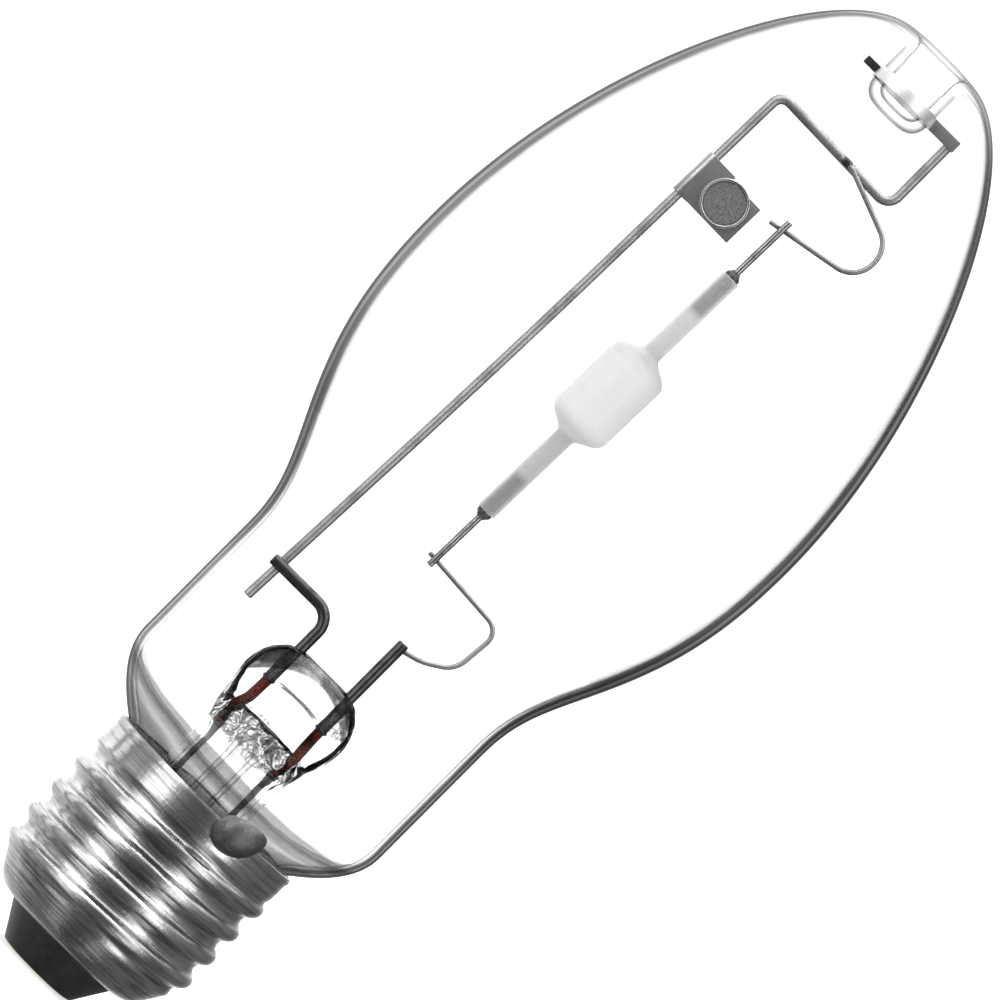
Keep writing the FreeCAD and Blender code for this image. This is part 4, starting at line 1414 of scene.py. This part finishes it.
    def build_cement(self) -> None:
        """Fill the room between neck and shell: a ring at the thread and a wider collar under the rim."""
        ring_r = self.root_r - self.sheet - self.cement_gap
        collar_r = self.band_r - self.sheet - self.cement_gap
        neck_r = self.bulb.neck_r + self.gap
        profile = chain(
            (neck_r, self.cement_low), ((ring_r, self.cement_low), 3), ((ring_r, self.cement_step), 3),
            ((collar_r, self.cement_step), 2), ((collar_r, self.cement_top), 4), (self.cement_lip, 4),
            ((neck_r, self.cement_dip), 6))
        self.wardrobe.make("basing_cement_ring", turned(profile, around=120), Finishes.CEMENT,
                           "cement", "basing_cement", ends=End.LOOP)

    def build_solder(self) -> None:
        """Run the solder over the rim: an ellipsoid turned to its place, uneven by a few hundredths.

        Points above the shoulder of the glass are set down on it, and points inside the neck are
        moved out to it.
        """
        outward = self.joint_way
        sideways = np.array([-outward[1], outward[0], 0.0])
        tilt = math.radians(self.solder_tilt)
        long_way = math.cos(tilt) * sideways + math.sin(tilt) * UP
        short_way = -math.sin(tilt) * sideways + math.cos(tilt) * UP
        centre = outward * (self.band_r + self.solder_proud) + UP * self.solder_z
        axes = np.array([outward, short_way, long_way])
        rings = drop_rings(centre, self.solder_radii, axes, count=60, around=72)
        waves = (depth * uneven(rings, size, seed) for depth, size, seed in self.solder_dents)
        dents = sum(waves, self.solder_shrink)
        rings = rings - unit(rings - centre) * dents[..., None]
        r = np.hypot(rings[..., 0], rings[..., 1])
        neck_top_to_tube = slice(6, 40)
        neck_r, sunk, off_skin, inside_z = self.bulb.neck_r, 0.03, 0.05, 22.0
        roof = np.interp(r, *self.bulb.outline(0.0)[neck_top_to_tube].T, left=inside_z) - sunk
        over = (rings[..., 2] > roof) & (r > neck_r)
        rings[..., 2] = np.where(over, roof, rings[..., 2])
        skin_r = neck_r + off_skin
        rings[..., :2] *= np.where(r < skin_r, skin_r / np.maximum(r, 0.1), 1.0)[..., None]
        self.wardrobe.make("rim_solder", rings, Finishes.SOLDER, "solder", "side_solder", crease=60.0)

    def build(self) -> None:
        """Make the whole cap."""
        self.build_shell()
        self.build_foot()
        self.build_cement()
        self.build_solder()


@dataclass
class Stem:
    """Flare tube with its press, the exhaust tube and the leads that pass through.

    A station is a height, X, a half width and a half depth. A crumple is a height, its spread and
    its depth. The rim is how much wider than the hollow's end it is, and how far above it. The
    wires' X is given above and below the bend in the press, and each joint or bend by its height.
    """

    wardrobe: Wardrobe
    gauges: Gauges
    cap: ScrewCap
    outside: Rows = (
        (13.9, 0, 10.3, 10.3), (14.4, 0, 8.9, 8.9), (18, -0.3, 6.95, 6.95), (25, -0.6, 5.85, 5.85),
        (29.5, -0.6, 5.75, 5.75), (32.5, -0.6, 5.75, 5.65), (35, -0.6, 6.3, 4.3), (37.5, -0.35, 6.85, 3.3),
        (40, -0.35, 7.25, 2.9), (42.3, -0.35, 6.8, 2.75), (43.9, -0.35, 5.7, 2.4), (44.8, -0.35, 4.5, 1.9),
        (45.2, -0.35, 3.15, 1.2))
    inside: Rows = (
        (12.8, 0, 8.05, 8.05), (18, -0.3, 5.95, 5.95), (25, -0.6, 4.85, 4.85), (29.5, -0.6, 4.75, 4.75),
        (32.5, -0.6, 4.75, 4.55), (34.5, -0.6, 5.0, 2.55), (36.3, -0.6, 4.35, 0.6))
    crumple: Rows = ((34.9, 1.6, 0.16), (41.5, 2.2, 0.05))
    crumple_size: float = 2.4
    crown_shares: Row = (0.8, 0.45)
    rim: Pairs = ((1.28, 0.0), (1.3, 0.9))
    axis_x: float = -0.6
    exhaust_r: float = 1.65
    exhaust_wall: float = 0.55
    exhaust_tip: float = 16.5
    exhaust_top: float = 36.2
    left_x: Pair = (-4.2, -4.75)
    right_x: Pair = (3.4, 3.3)
    joint_top: float = 40.3
    joint_low: float = 33.0
    bend_z: Pair = (37.2, 35.2)
    seal_bend: float = 2.0
    arm_z: float = 49.95
    arm_end: float = -13.35
    arm_bend: float = 2.3
    post_top: float = 53.4
    crook_z: Pair = (12.2, 9.6)
    crook_bend: float = 1.8
    foot_z: float = 0.45
    turn_z: float = 10.9
    climb_z: float = 22.9
    rim_z: float = 25.7
    rim_room: float = 0.1
    turn_bend: float = 1.4
    around: int = 128

    def loft(self, stations: Rows, count: int) -> Array:
        """Rings through oval stations: X + half width * cos a, half depth * sin a, smooth along Z.

        Args:
            stations: rows of height, X, half width and half depth.
            count: how many rings they are drawn out to.

        Returns:
            The rings, from the first station to the last.
        """
        table = np.array(stations)
        z = np.linspace(table[0, 0], table[-1, 0], count)
        x, wide, deep = (column[:, None] for column in hermite(z, table[:, 0], table[:, 1:]).T)
        a = ring_angles(self.around)
        return np.stack([x + wide * np.cos(a), deep * np.sin(a), np.repeat(z[:, None], self.around, 1)], 2)

    def build_glass(self) -> None:
        """Press the stem: one skin from the hollow's top down, round the rim and up the outside.

        The outside is pushed in and out by a soft unevenness where the press crumpled the tube:
        each place's depth * exp(-((z - height) / spread)^2).
        """
        inner = self.loft(self.inside, count=60)[::-1]
        outer = self.loft(self.outside, count=130)
        z = outer[..., 2]
        crumple = sum(np.exp(-((z - height) / spread) ** 2) * depth for height, spread, depth in self.crumple)
        push = crumple * uneven(outer, self.crumple_size, 1.0) - crumple * 0.5
        outer = outer + unit(outer - outer.mean(1, keepdims=True)) * push[..., None]
        middle = outer[-1:].mean(1, keepdims=True)
        crown = [middle + (outer[-1:] - middle) * share for share in self.crown_shares]
        rim = [inner[-1:] * np.array([wider, wider, 1.0]) + UP * rise for wider, rise in self.rim]
        rings = np.concatenate([inner, *rim, outer, *crown])
        self.wardrobe.make("stem_press", rings, Finishes.STEM_GLASS, "stem_glass", "stem", crease=60.0)

    def build_exhaust(self) -> None:
        """Draw the exhaust tube, melted shut at its tip: the inside up, over the end and down the outside."""
        r, bore = self.exhaust_r, self.exhaust_r - self.exhaust_wall
        tip, top = self.exhaust_tip, self.exhaust_top
        profile = chain(
            (0.0, tip - bore), ((bore, tip), 10, (0.0, tip)), ((bore, top), 20), ((r, top), 3),
            ((r, tip), 20), ((0.0, tip - r), 10, (0.0, tip)))
        rings = turned(profile, around=64) + (self.axis_x, 0, 0)
        self.wardrobe.make("exhaust_glass", rings, Finishes.TUBE_GLASS, "stem_glass", "exhaust_tube")

    def run_wire(self, name: str, node: str, corners: Sequence[tuple | Array], bend: float, radius: float,
                 finish: Finishes, slot: str, step: float = 0.15, side: Array = ACROSS) -> None:
        """Bend one lead through its corners and dress it.

        Args:
            name: the piece's name.
            node: the CAD node that it stands for.
            corners: X, Y and Z of its corners.
            bend: the radius of every bend.
            radius: the wire's radius.
            finish: its finish.
            slot: the record's material slot.
            step: the greatest distance between two rings.
            side: a direction that is never along the wire.
        """
        path = rounded_path(np.array(corners), [bend] * (len(corners) - 2), step)
        self.wardrobe.make(name, wire(path, radius, side), finish, slot, node)

    def build_leads(self) -> None:
        """Bend the wires that run from the cap up through the press, each in its three metals."""
        g, (left, left_low), (right, right_low) = self.gauges, self.left_x, self.right_x
        support = {"radius": g.support_r, "finish": Finishes.LEAD_WIRE, "slot": "lead_wire"}
        seal = {"radius": g.seal_r, "finish": Finishes.SEAL_WIRE, "slot": "seal_wire"}
        outer = {"radius": g.outer_r, "finish": Finishes.OUTER_WIRE, "slot": "outer_wire", "step": 0.25}
        top, low = self.joint_top, self.joint_low
        arm = [(left, 0, top), (left, 0, self.arm_z), (self.arm_end, 0, self.arm_z)]
        self.run_wire("bent_arm", "frame_support_lead", arm, self.arm_bend, **support)
        post = wire(straight((right, 0, top), (right, 0, self.post_top), 60), g.support_r)
        self.wardrobe.make("strap_post", post, Finishes.LEAD_WIRE, "lead_wire", "strap_support_lead")
        upper_bend, lower_bend = self.bend_z
        for name, node, x, low_x in (("left_seal", "frame_seal_wire", left, left_low),
                                     ("right_seal", "strap_seal_wire", right, right_low)):
            corners = [(x, 0, top), (x, 0, upper_bend), (low_x, 0, lower_bend), (low_x, 0, low)]
            self.run_wire(name, node, corners, self.seal_bend, **seal)
        crook, axis_z = self.crook_z
        down = [(left_low, 0, low), (left_low, 0, crook), (0, 0, axis_z), (0, 0, self.foot_z)]
        self.run_wire("contact_lead", "frame_outer_lead", down, self.crook_bend, **outer)
        side_at = self.cap.joint_way * (self.cap.bulb.neck_r + self.cap.root_r - self.cap.sheet) / 2
        rim_at = self.cap.joint_way * (self.cap.band_r - self.cap.sheet - g.outer_r - self.rim_room)
        back = [(right_low, 0, low), (right_low, 0, self.turn_z), side_at + UP * self.turn_z,
                side_at + UP * self.climb_z, rim_at + UP * self.rim_z]
        never_along = np.array([0.3, 0.9, 0.1])
        self.run_wire("rim_lead", "strap_outer_lead", back, self.turn_bend, side=never_along, **outer)

    def build_welds(self) -> None:
        """Melt a small bead at each joint of two wire ends."""
        upper_r, lower_r, bead_height = 0.78, 0.58, 0.42
        for level, z, r, at in (("upper", self.joint_top, upper_r, 0), ("lower", self.joint_low, lower_r, 1)):
            for hand, xs in (("left", self.left_x), ("right", self.right_x)):
                self.wardrobe.melt(f"{hand}_{level}_bead", (xs[at], 0, z), (r, r, bead_height), "lead_wire")

    def build(self) -> None:
        """Make the whole stem."""
        self.build_glass()
        self.build_exhaust()
        self.build_leads()
        self.build_welds()


@dataclass
class Mount:
    """The frame rod, the clip at the dimple, the getter on its plate and the two straps.

    A pair is X and height, and for the upper strap the height is counted from the bar. The clip's
    tails and lug run from one X to another. The notch is where the plate's edge steps down: at
    this X, over this width and by this much.
    """

    wardrobe: Wardrobe
    gauges: Gauges
    foot: Pair = (-12.5, 45.0)
    bow: Pair = (-10.72, 84.0)
    shoulder_x: float = -9.75
    bar_left_z: float = 124.85
    bar_right_z: float = 124.35
    mast_x: float = 7.15
    mast_top: float = 134.1
    rod_bends: Row = (1500.0, 1.3, 1.5)
    clip_low: float = 133.35
    clip_height: float = 1.45
    clip_sheet: float = 0.2
    clip_edge: float = 0.06
    clip_slack: float = 0.1
    clip_taper: float = 0.045
    pit_outer_r: float = 4.0
    back_tail: Pair = (4.15, 7.9)
    front_tail: Pair = (4.1, 7.75)
    lug: Pair = (-4.15, -6.0)
    lug_trim: float = 0.25
    flag_z: float = 112.1
    flag_height: float = 5.7
    flag_sheet: float = 0.25
    flag_edge: float = 0.05
    flag_slack: float = 0.05
    flag_lap: float = 1.12
    flag_end_x: float = -2.5
    notch: Triple = (-6.95, 0.1, 0.5)
    getter_x: float = -5.75
    getter_drop: float = 0.125
    getter_r: float = 2.75
    pan_height: float = 0.6
    pan_round: float = 0.15
    pan_lip: float = 0.1
    pan_floor: Pair = (0.4, 0.3)
    fill_inset: float = 0.42
    fill_z: Triple = (0.25, 0.4, 0.47)
    upper_strap: Pairs = ((-0.3, 0.2), (1.5, 0.1), (10.35, -3.3), (10.35, -8.25), (-0.9, -10.25))
    upper_bends: Row = (2.0, 3.1, 3.1)
    lower_strap: Pairs = ((2.95, 52.45), (6.2, 53.3), (9.3, 55.3), (9.85, 61.6), (-1.7, 62.4))
    lower_bends: Row = (6.0, 3.0, 1.8)

    def build_rod(self) -> None:
        """Bend the frame rod: straight runs joined by tangent arcs, behind the support lead."""
        y = self.gauges.frame_y
        places = (self.foot, self.bow, (self.shoulder_x, self.bar_left_z), (self.mast_x, self.bar_right_z),
                  (self.mast_x, self.mast_top))
        path = rounded_path(np.array([(x, y, z) for x, z in places]), self.rod_bends, step=0.3)
        rings = wire(path, self.gauges.frame_r)
        self.wardrobe.make("frame_rod", rings, Finishes.FRAME_METAL, "frame_metal", "frame_wire")

    def build_clip(self) -> None:
        """Close the strip round the dimple: a ring, a doubled tail to the mast and a lug on the far side.

        The ring follows the dimple's wall: radius * (1 - taper * share of the height).
        """
        g, t, low, edge = self.gauges, self.clip_sheet, self.clip_low, self.clip_edge
        high = low + self.clip_height
        a = ring_angles(120)
        r = self.pit_outer_r + self.clip_slack + t / 2
        ring = strip_rings(np.stack([r * np.cos(a), r * np.sin(a)], 1), t, low, high, edge, closed=True)
        ring[..., :2] *= 1 - self.clip_taper * (ring[..., 2:] - low) / self.clip_height
        self.wardrobe.make("dimple_band", ring, Finishes.BAND_METAL, "strip_metal", "dimple_clip",
                           ends=End.LOOP, crease=50.0)
        back = g.frame_y - g.frame_r - g.gap
        for name, (start, end), y, trim, finish in (
                ("clip_tail_back", self.back_tail, back - t / 2, 0.0, Finishes.STRIP_METAL),
                ("clip_tail_front", self.front_tail, back - 1.5 * t - g.gap, 0.0, Finishes.STRIP_METAL),
                ("clip_lug", self.lug, t / 2, self.lug_trim, Finishes.LEAD_WIRE)):
            rings = strip_rings(straight((start, y), (end, y), 16), t, low + trim, high - trim, edge)
            self.wardrobe.make(name, rings, finish, "strip_metal", crease=50.0)

    def build_flag(self) -> None:
        """Fold the getter's plate round the rod and lean it as the rod leans.

        Its plan path runs along the back, half round the rod and along the front; its upper edge
        steps down past the fold.
        """
        g, t = self.gauges, self.flag_sheet
        run, rise = self.shoulder_x - self.bow[0], self.bar_left_z - self.bow[1]
        x = self.bow[0] + run / rise * (self.flag_z - self.bow[1])
        fold = g.frame_r + self.flag_slack + t / 2
        back_y, front_y = g.frame_y + fold, g.frame_y - fold
        a = np.linspace(QUARTER_TURN, 3 * QUARTER_TURN, 28)
        path = joined(
            straight((x + self.flag_lap, back_y), (x, back_y), 8),
            np.stack([x + fold * np.cos(a), g.frame_y + fold * np.sin(a)], 1),
            straight((x, front_y), (self.flag_end_x, front_y), 120))
        notch_x, notch_width, notch_depth = self.notch
        step = notch_depth * smooth_step((path[:, 0] - notch_x) / notch_width) * (path[:, 1] < g.frame_y)
        low = self.flag_z - self.flag_height / 2
        rings = strip_rings(path, t, low, low + self.flag_height - step, self.flag_edge)
        spot = np.array([x, 0, self.flag_z])
        rings = leaned(rings - spot, math.atan2(run, rise)) + spot
        self.wardrobe.make("getter_plate", rings, Finishes.STRIP_METAL,
                           "strip_metal", "getter_flag", crease=50.0)

    def on_plate(self, rings: Array) -> Array:
        """Lay rings turned about Z on the plate's front, facing -Y: the getter's middle + (x, -z, y)."""
        y = self.gauges.frame_y - self.gauges.frame_r - self.flag_slack - self.flag_sheet
        return rings[..., (0, 2, 1)] * (1, -1, 1) + (self.getter_x, y, self.flag_z - self.getter_drop)

    def build_getter(self) -> None:
        """Press the getter: a turned pan with a rolled lip, and powder whose skin is a little uneven."""
        r, bend, lip, top = self.getter_r, self.pan_round, self.pan_lip, self.pan_height
        base_r, lip_r = r - bend, r - lip
        inner_r = lip_r - lip
        inset, floor_z = self.pan_floor
        pan = chain(
            (0.0, 0.0), ((base_r, 0.0), 6), ((r, bend), 5, (base_r, bend)), ((r, top - lip), 3),
            ((lip_r, top), 5, (lip_r, top - lip)), ((inner_r, top), 2),
            ((inner_r - bend, top - bend), 6, (inner_r, top - bend)), ((r - inset, floor_z), 3),
            ((0.0, floor_z), 4))
        rings = self.on_plate(turned(pan))
        self.wardrobe.make("getter_pan", rings, Finishes.PAN_METAL, "getter", "getter_disc", crease=50.0)
        fill_r, (low, rim, crown) = r - self.fill_inset, self.fill_z
        fill = turned(chain((0.0, low), ((fill_r, low), 3), ((fill_r, rim), 3), ((0.0, crown), 30)))
        slack, depth, size, seed = 0.01, 0.03, 0.5, 4.0
        skin = fill[..., 2] > rim - slack
        fill[..., 2] += np.where(skin, depth * uneven(fill, size, seed), 0.0)
        self.wardrobe.make("getter_fill", self.on_plate(fill), Finishes.GETTER, "getter", crease=50.0)

    def build_straps(self) -> None:
        """Bow the two thin straps from the bar and the post to the arc tube's leads."""
        g = self.gauges
        y, post_y, on_post = g.strap_y, g.support_r + g.gap + g.strap_r, 3
        upper = [(x, y, self.bar_right_z + z) for x, z in self.upper_strap]
        lower = [(x, post_y if k < on_post else y, z) for k, (x, z) in enumerate(self.lower_strap)]
        for word, corners, bends in (("upper", upper, self.upper_bends), ("lower", lower, self.lower_bends)):
            rings = wire(rounded_path(np.array(corners), bends, step=0.15), g.strap_r, around=20)
            self.wardrobe.make(f"{word}_bow", rings, Finishes.FRAME_METAL, "frame_metal", f"{word}_strap")

    def build_welds(self) -> None:
        """Melt the nuggets of the spot welds: flat ellipsoids between the wires."""
        g = self.gauges
        lead_y, rod_y = (g.strap_y + g.arc_y) / 2, g.frame_y - g.frame_r
        spots = (("bar_weld", (0.5, g.strap_y - 0.02, 124.55), (0.85, 0.34, 0.5)),
                 ("upper_lead_weld", (0.7, lead_y, 114.35), (0.5, 0.3, 0.3)),
                 ("lower_lead_weld", (-0.75, lead_y, 62.35), (0.5, 0.3, 0.3)),
                 ("post_weld", (3.4, g.support_r, 52.75), (0.5, 0.3, 0.4)),
                 ("arm_weld", (-12.2, g.support_r, 49.95), (0.5, 0.25, 0.6)),
                 ("mast_weld", (self.mast_x, rod_y, 133.8), (0.4, 0.2, 0.3)))
        for name, centre, radii in spots:
            self.wardrobe.melt(name, centre, radii, "frame_metal")

    def build(self) -> None:
        """Make the whole mount."""
        self.build_rod()
        self.build_clip()
        self.build_flag()
        self.build_getter()
        self.build_straps()
        self.build_welds()


@dataclass
class ArcTube:
    """The ceramic arc tube with its electrodes, leads and frit, about a leaning axis.

    Heights are counted from its middle. A pull is a handle of a cubic, as radius and height.
    """

    wardrobe: Wardrobe
    gauges: Gauges
    centre_z: float = 88.25
    lean: float = 1.6
    body_r: float = 3.75
    body_half: float = 3.9
    body_pull: float = 1.6
    leg_r: float = 1.15
    leg_start: float = 6.5
    leg_end: float = 18.405
    leg_pull: Pair = (0.45, 0.9)
    leg_edge: float = 0.12
    wall: float = 0.8
    bore_r: float = 0.45
    bore_mouth: float = 5.4
    bore_pull: Pair = (0.6, 0.8)
    room_pull: float = 1.1
    niobium_inner: float = 13.988
    upper_end: float = 27.3
    lower_end: float = 26.9
    frit_r: float = 0.95
    frit_height: float = 0.9
    frit_neck: float = 0.12
    frit_pulls: Pairs = ((0.02, 0.6), (0.1, 0.5))
    shank_r: float = 0.22
    tip: float = 2.4
    coil_low: float = 2.8
    coil_pitch: float = 0.22
    coil_turns: int = 3
    coil_wire_r: float = 0.1

    def placed(self, rings: Array, side: int = 1) -> Array:
        """Turn rings made upright about the middle to the leaning axis, the lower end by half a turn."""
        upright = leaned(rings * (1, side, side), math.radians(self.lean))
        return upright + (0, self.gauges.arc_y, self.centre_z)

    def build_ceramic(self) -> None:
        """Form the ceramic: the outside from one leg's end to the other, and the bore back again."""
        body_r, body_half = self.body_r, self.body_half
        leg, start, end = self.leg_r, self.leg_start, self.leg_end
        room_r, room_half = body_r - self.wall, body_half - 0.5 * self.wall
        bore, mouth, edge = self.bore_r, self.bore_mouth, self.leg_edge
        upper = joined(
            bezier((body_r, body_half), (body_r, body_half + self.body_pull),
                   (leg + self.leg_pull[0], start - self.leg_pull[1]), (leg, start), 28),
            chain((leg, start), ((leg, end - edge), 24), ((leg - edge, end), 4, (leg - edge, end - edge)),
                  ((bore, end), 3), ((bore, mouth), 12)),
            bezier((bore, mouth), (bore + self.bore_pull[0], mouth - self.bore_pull[1]),
                   (room_r, room_half + self.room_pull), (room_r, room_half), 16))
        lower = upper[::-1] * (1.0, -1.0)
        loop = joined(upper, straight(upper[-1], lower[0], 6), lower, straight(lower[-1], upper[0], 8))[:-1]
        rings = self.placed(turned(loop))
        self.wardrobe.make("ceramic_body", rings, Finishes.CERAMIC, "arc_ceramic", "arc_tube", ends=End.LOOP)

    def build_end(self, side: int, word: str, reach: float) -> None:
        """Fit one end: the frit drop, the lead, the electrode and its coil.

        Args:
            side: 1 for the upper end and -1 for the lower one.
            word: the start of the pieces' names.
            reach: how far the lead goes from the middle, in millimetres.
        """
        r, end, inner = self.gauges.niobium_r, self.leg_end, self.niobium_inner
        top, foot_r, neck_r = end + self.frit_height, self.frit_r, r + self.frit_neck
        (foot_out, foot_up), (neck_out, neck_up) = self.frit_pulls
        drop = joined(
            straight((r, end), (foot_r, end), 4),
            bezier((foot_r, end), (foot_r + foot_out, end + foot_up),
                   (neck_r + neck_out, end + neck_up), (neck_r, top), 14),
            straight((neck_r, top), (r, top), 2))
        make, rings = self.wardrobe.make, self.placed(turned(drop, around=64), side)
        make(f"{word}_frit_drop", rings, Finishes.FRIT, "frit", f"{word}_frit", ends=End.LOOP)
        lead = self.placed(straight((0, 0, inner), (0, 0, reach), 60), side)
        make(f"{word}_lead", wire(lead, r), Finishes.NIOBIUM, "niobium", f"{word}_niobium_lead")
        pin = self.placed(straight((0, 0, self.tip), (0, 0, inner), 40), side)
        make(f"{word}_pin", wire(pin, self.shank_r), Finishes.TUNGSTEN, "tungsten", f"{word}_electrode")
        turns = np.linspace(0, self.coil_turns * FULL_TURN, 96)
        coil_r = self.shank_r + self.coil_wire_r + self.gauges.gap
        height = self.coil_low + self.coil_pitch * turns / FULL_TURN
        coil = self.placed(np.stack([coil_r * np.cos(turns), coil_r * np.sin(turns), height], 1), side)
        rings = wire(coil, self.coil_wire_r, UP, around=12)
        make(f"{word}_coil", rings, Finishes.TUNGSTEN, "tungsten", f"{word}_electrode_coil")

    def build(self) -> None:
        """Make the whole arc tube."""
        self.build_ceramic()
        self.build_end(1, "upper", self.upper_end)
        self.build_end(-1, "lower", self.lower_end)


@dataclass
class Studio:
    """White paper, a soft studio all round and the camera at the photograph's angle.

    Round the horizon, a pair is an azimuth, 0 at the viewer and rising to +X, and a brightness. By
    height it is an elevation and the share of that brightness left, and all round an elevation and
    what ceiling and table add. Brightest is the strength that a brightness of 1 stands for, on matt
    is the same for light on matt surfaces, and backdrop is the white that is looked at directly.
    Angles are in degrees, and the camera and the softbox stand at places in metres.
    """

    wardrobe: Wardrobe
    camera_at: Triple = (-0.00028, -1.0, 0.07184)
    roll: float = 44.9
    lens: float = 330.6
    round_the_horizon: Pairs = (
        (-180, 1.3), (-150, 1.3), (-124, 1.7), (-119, 0.5), (-114, 0.5), (-109, 1.5), (-101, 1.3), (-97, 0.4),
        (-91, 0.5), (-84, 0.7), (-64, 0.55), (-54, 2.6), (-34, 2.6), (-25, 0.45), (-8, 0.16), (14, 0.14),
        (30, 0.3), (40, 2.6), (54, 2.6), (63, 0.45), (80, 0.25), (100, 0.2), (126, 0.2), (150, 0.18),
        (166, 0.5), (174, 1.3), (180, 1.3))
    by_height: Pairs = ((-90, 0.05), (-60, 0.14), (-34, 0.42), (-14, 0.72), (0, 0.95), (20, 1.15), (90, 1.1))
    all_round: Pairs = ((-90, 0.02), (-45, 0.035), (-25, 0.02), (-10, 0.0), (36, 0.0), (60, 0.55), (90, 0.55))
    brightest: float = 3.0
    on_matt: float = 1.9
    backdrop: float = 1.3
    softbox_at: Triple = (-0.25, -0.35, 0.9)
    softbox_turn: Pair = (22.0, -15.0)
    paper_rings: Row = (0.0, 20.0, 60.0, 200.0, 800.0, 3000.0, 9000.0)
    paper_z: float = -0.2

    def build_floor(self) -> None:
        """Lay the paper: a disc of rings whose radius grows, just under the contact."""
        around = 64
        profile = np.array([(r, self.paper_z) for r in self.paper_rings])
        points = turned(profile, around).reshape(-1, 3) * MM
        rows, columns = np.arange(len(profile) - 1)[:, None] * around, np.arange(around)
        low, low_next = (rows + columns).ravel(), (rows + (columns + 1) % around).ravel()
        faces = np.stack([low, low + around, low_next + around, low_next], 1)
        mesh = bpy.data.meshes.new("paper")
        mesh.from_pydata(points.tolist(), [], faces.tolist())
        mesh.materials.append(self.wardrobe.material(Finishes.FLOOR))
        paper = bpy.data.objects.new("paper", mesh)
        bpy.context.scene.collection.objects.link(paper)
        paper.visible_glossy = False

    def build_room(self) -> None:
        """Fill the world: plain white to look at, and panels and dark gaps for everything it lights."""
        world = bpy.data.worlds.new("soft studio")
        bpy.context.scene.world = world
        world.use_nodes = True
        world.node_tree.nodes.clear()
        add = partial(add_node, world.node_tree)
        part = add("SeparateXYZ", add("TexCoord").outputs["Generated"])
        toward = add("Math", part.outputs["Y"], -1.0, operation="MULTIPLY")
        azimuth = add("Math", part.outputs["X"], toward, operation="ARCTAN2")
        rise = add("Math", part.outputs["Z"], operation="ARCSINE")
        around = add("MapRange", azimuth, -math.pi, math.pi)
        level = add("MapRange", rise, -QUARTER_TURN, QUARTER_TURN)
        panels = add("ValToRGB", around, stops=greys(
            ((a + 180) / 360, value / self.brightest) for a, value in self.round_the_horizon))
        fall = add("ValToRGB", level, stops=greys(((a + 90) / 180, value) for a, value in self.by_height))
        even = add("ValToRGB", level, stops=greys(((a + 90) / 180, value) for a, value in self.all_round))
        wall = add("Mix", 1.0, panels, fall, data_type="RGBA", blend_type="MULTIPLY")
        room = add("Mix", 1.0, wall, even, data_type="RGBA", blend_type="ADD", clamp_result=False)
        path = add("LightPath")
        power = add("MapRange", path.outputs["Is Diffuse Ray"], to_min=self.brightest, to_max=self.on_matt)
        lit = add("Background", room, power)
        white = add("Background", WHITE, self.backdrop)
        add("OutputWorld", surface=add("MixShader", path.outputs["Is Camera Ray"], lit, white))

    def build_softbox(self) -> None:
        """Hang the softbox over the lamp, where neither the camera nor a mirror sees it."""
        light = bpy.data.lights.new("overhead softbox", "AREA")
        light.shape, light.size, light.energy = "DISK", 0.5, 1.2
        box = bpy.data.objects.new("overhead softbox", light)
        box.location = self.softbox_at
        box.rotation_euler = (*(math.radians(turn) for turn in self.softbox_turn), 0.0)
        box.visible_camera = False
        box.visible_glossy = False
        bpy.context.scene.collection.objects.link(box)

    def build_camera(self) -> None:
        """Set the camera a metre away, level, and rolled so that the lamp lies across the picture."""
        data = bpy.data.cameras.new("portrait")
        data.sensor_width, data.lens = 36.0, self.lens
        data.clip_start, data.clip_end = 0.01, 100.0
        camera = bpy.data.objects.new("portrait", data)
        camera.location = self.camera_at
        camera.rotation_euler = (QUARTER_TURN, -math.radians(self.roll), 0.0)
        bpy.context.scene.collection.objects.link(camera)
        bpy.context.scene.camera = camera

    def build(self) -> None:
        """Make the studio. White stays white, so the picture is shown without a film curve."""
        scene = bpy.context.scene
        scene.view_settings.view_transform = "Standard"
        scene.cycles.transparent_max_bounces = 32
        self.build_floor()
        self.build_room()
        self.build_softbox()
        self.build_camera()


def main() -> None:
    """Build the lamp and its studio, and report each piece."""
    logging.basicConfig(level=logging.INFO, format="%(name)s: %(message)s")
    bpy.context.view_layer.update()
    wardrobe, gauges = Wardrobe(), Gauges()
    bulb = OuterBulb(wardrobe)
    cap = ScrewCap(wardrobe, bulb)
    for assembly in (bulb, cap, Stem(wardrobe, gauges, cap), Mount(wardrobe, gauges),
                     ArcTube(wardrobe, gauges), Studio(wardrobe)):
        assembly.build()
        LOG.info("%s is done", type(assembly).__name__)


if __name__ == "__main__":
    main()
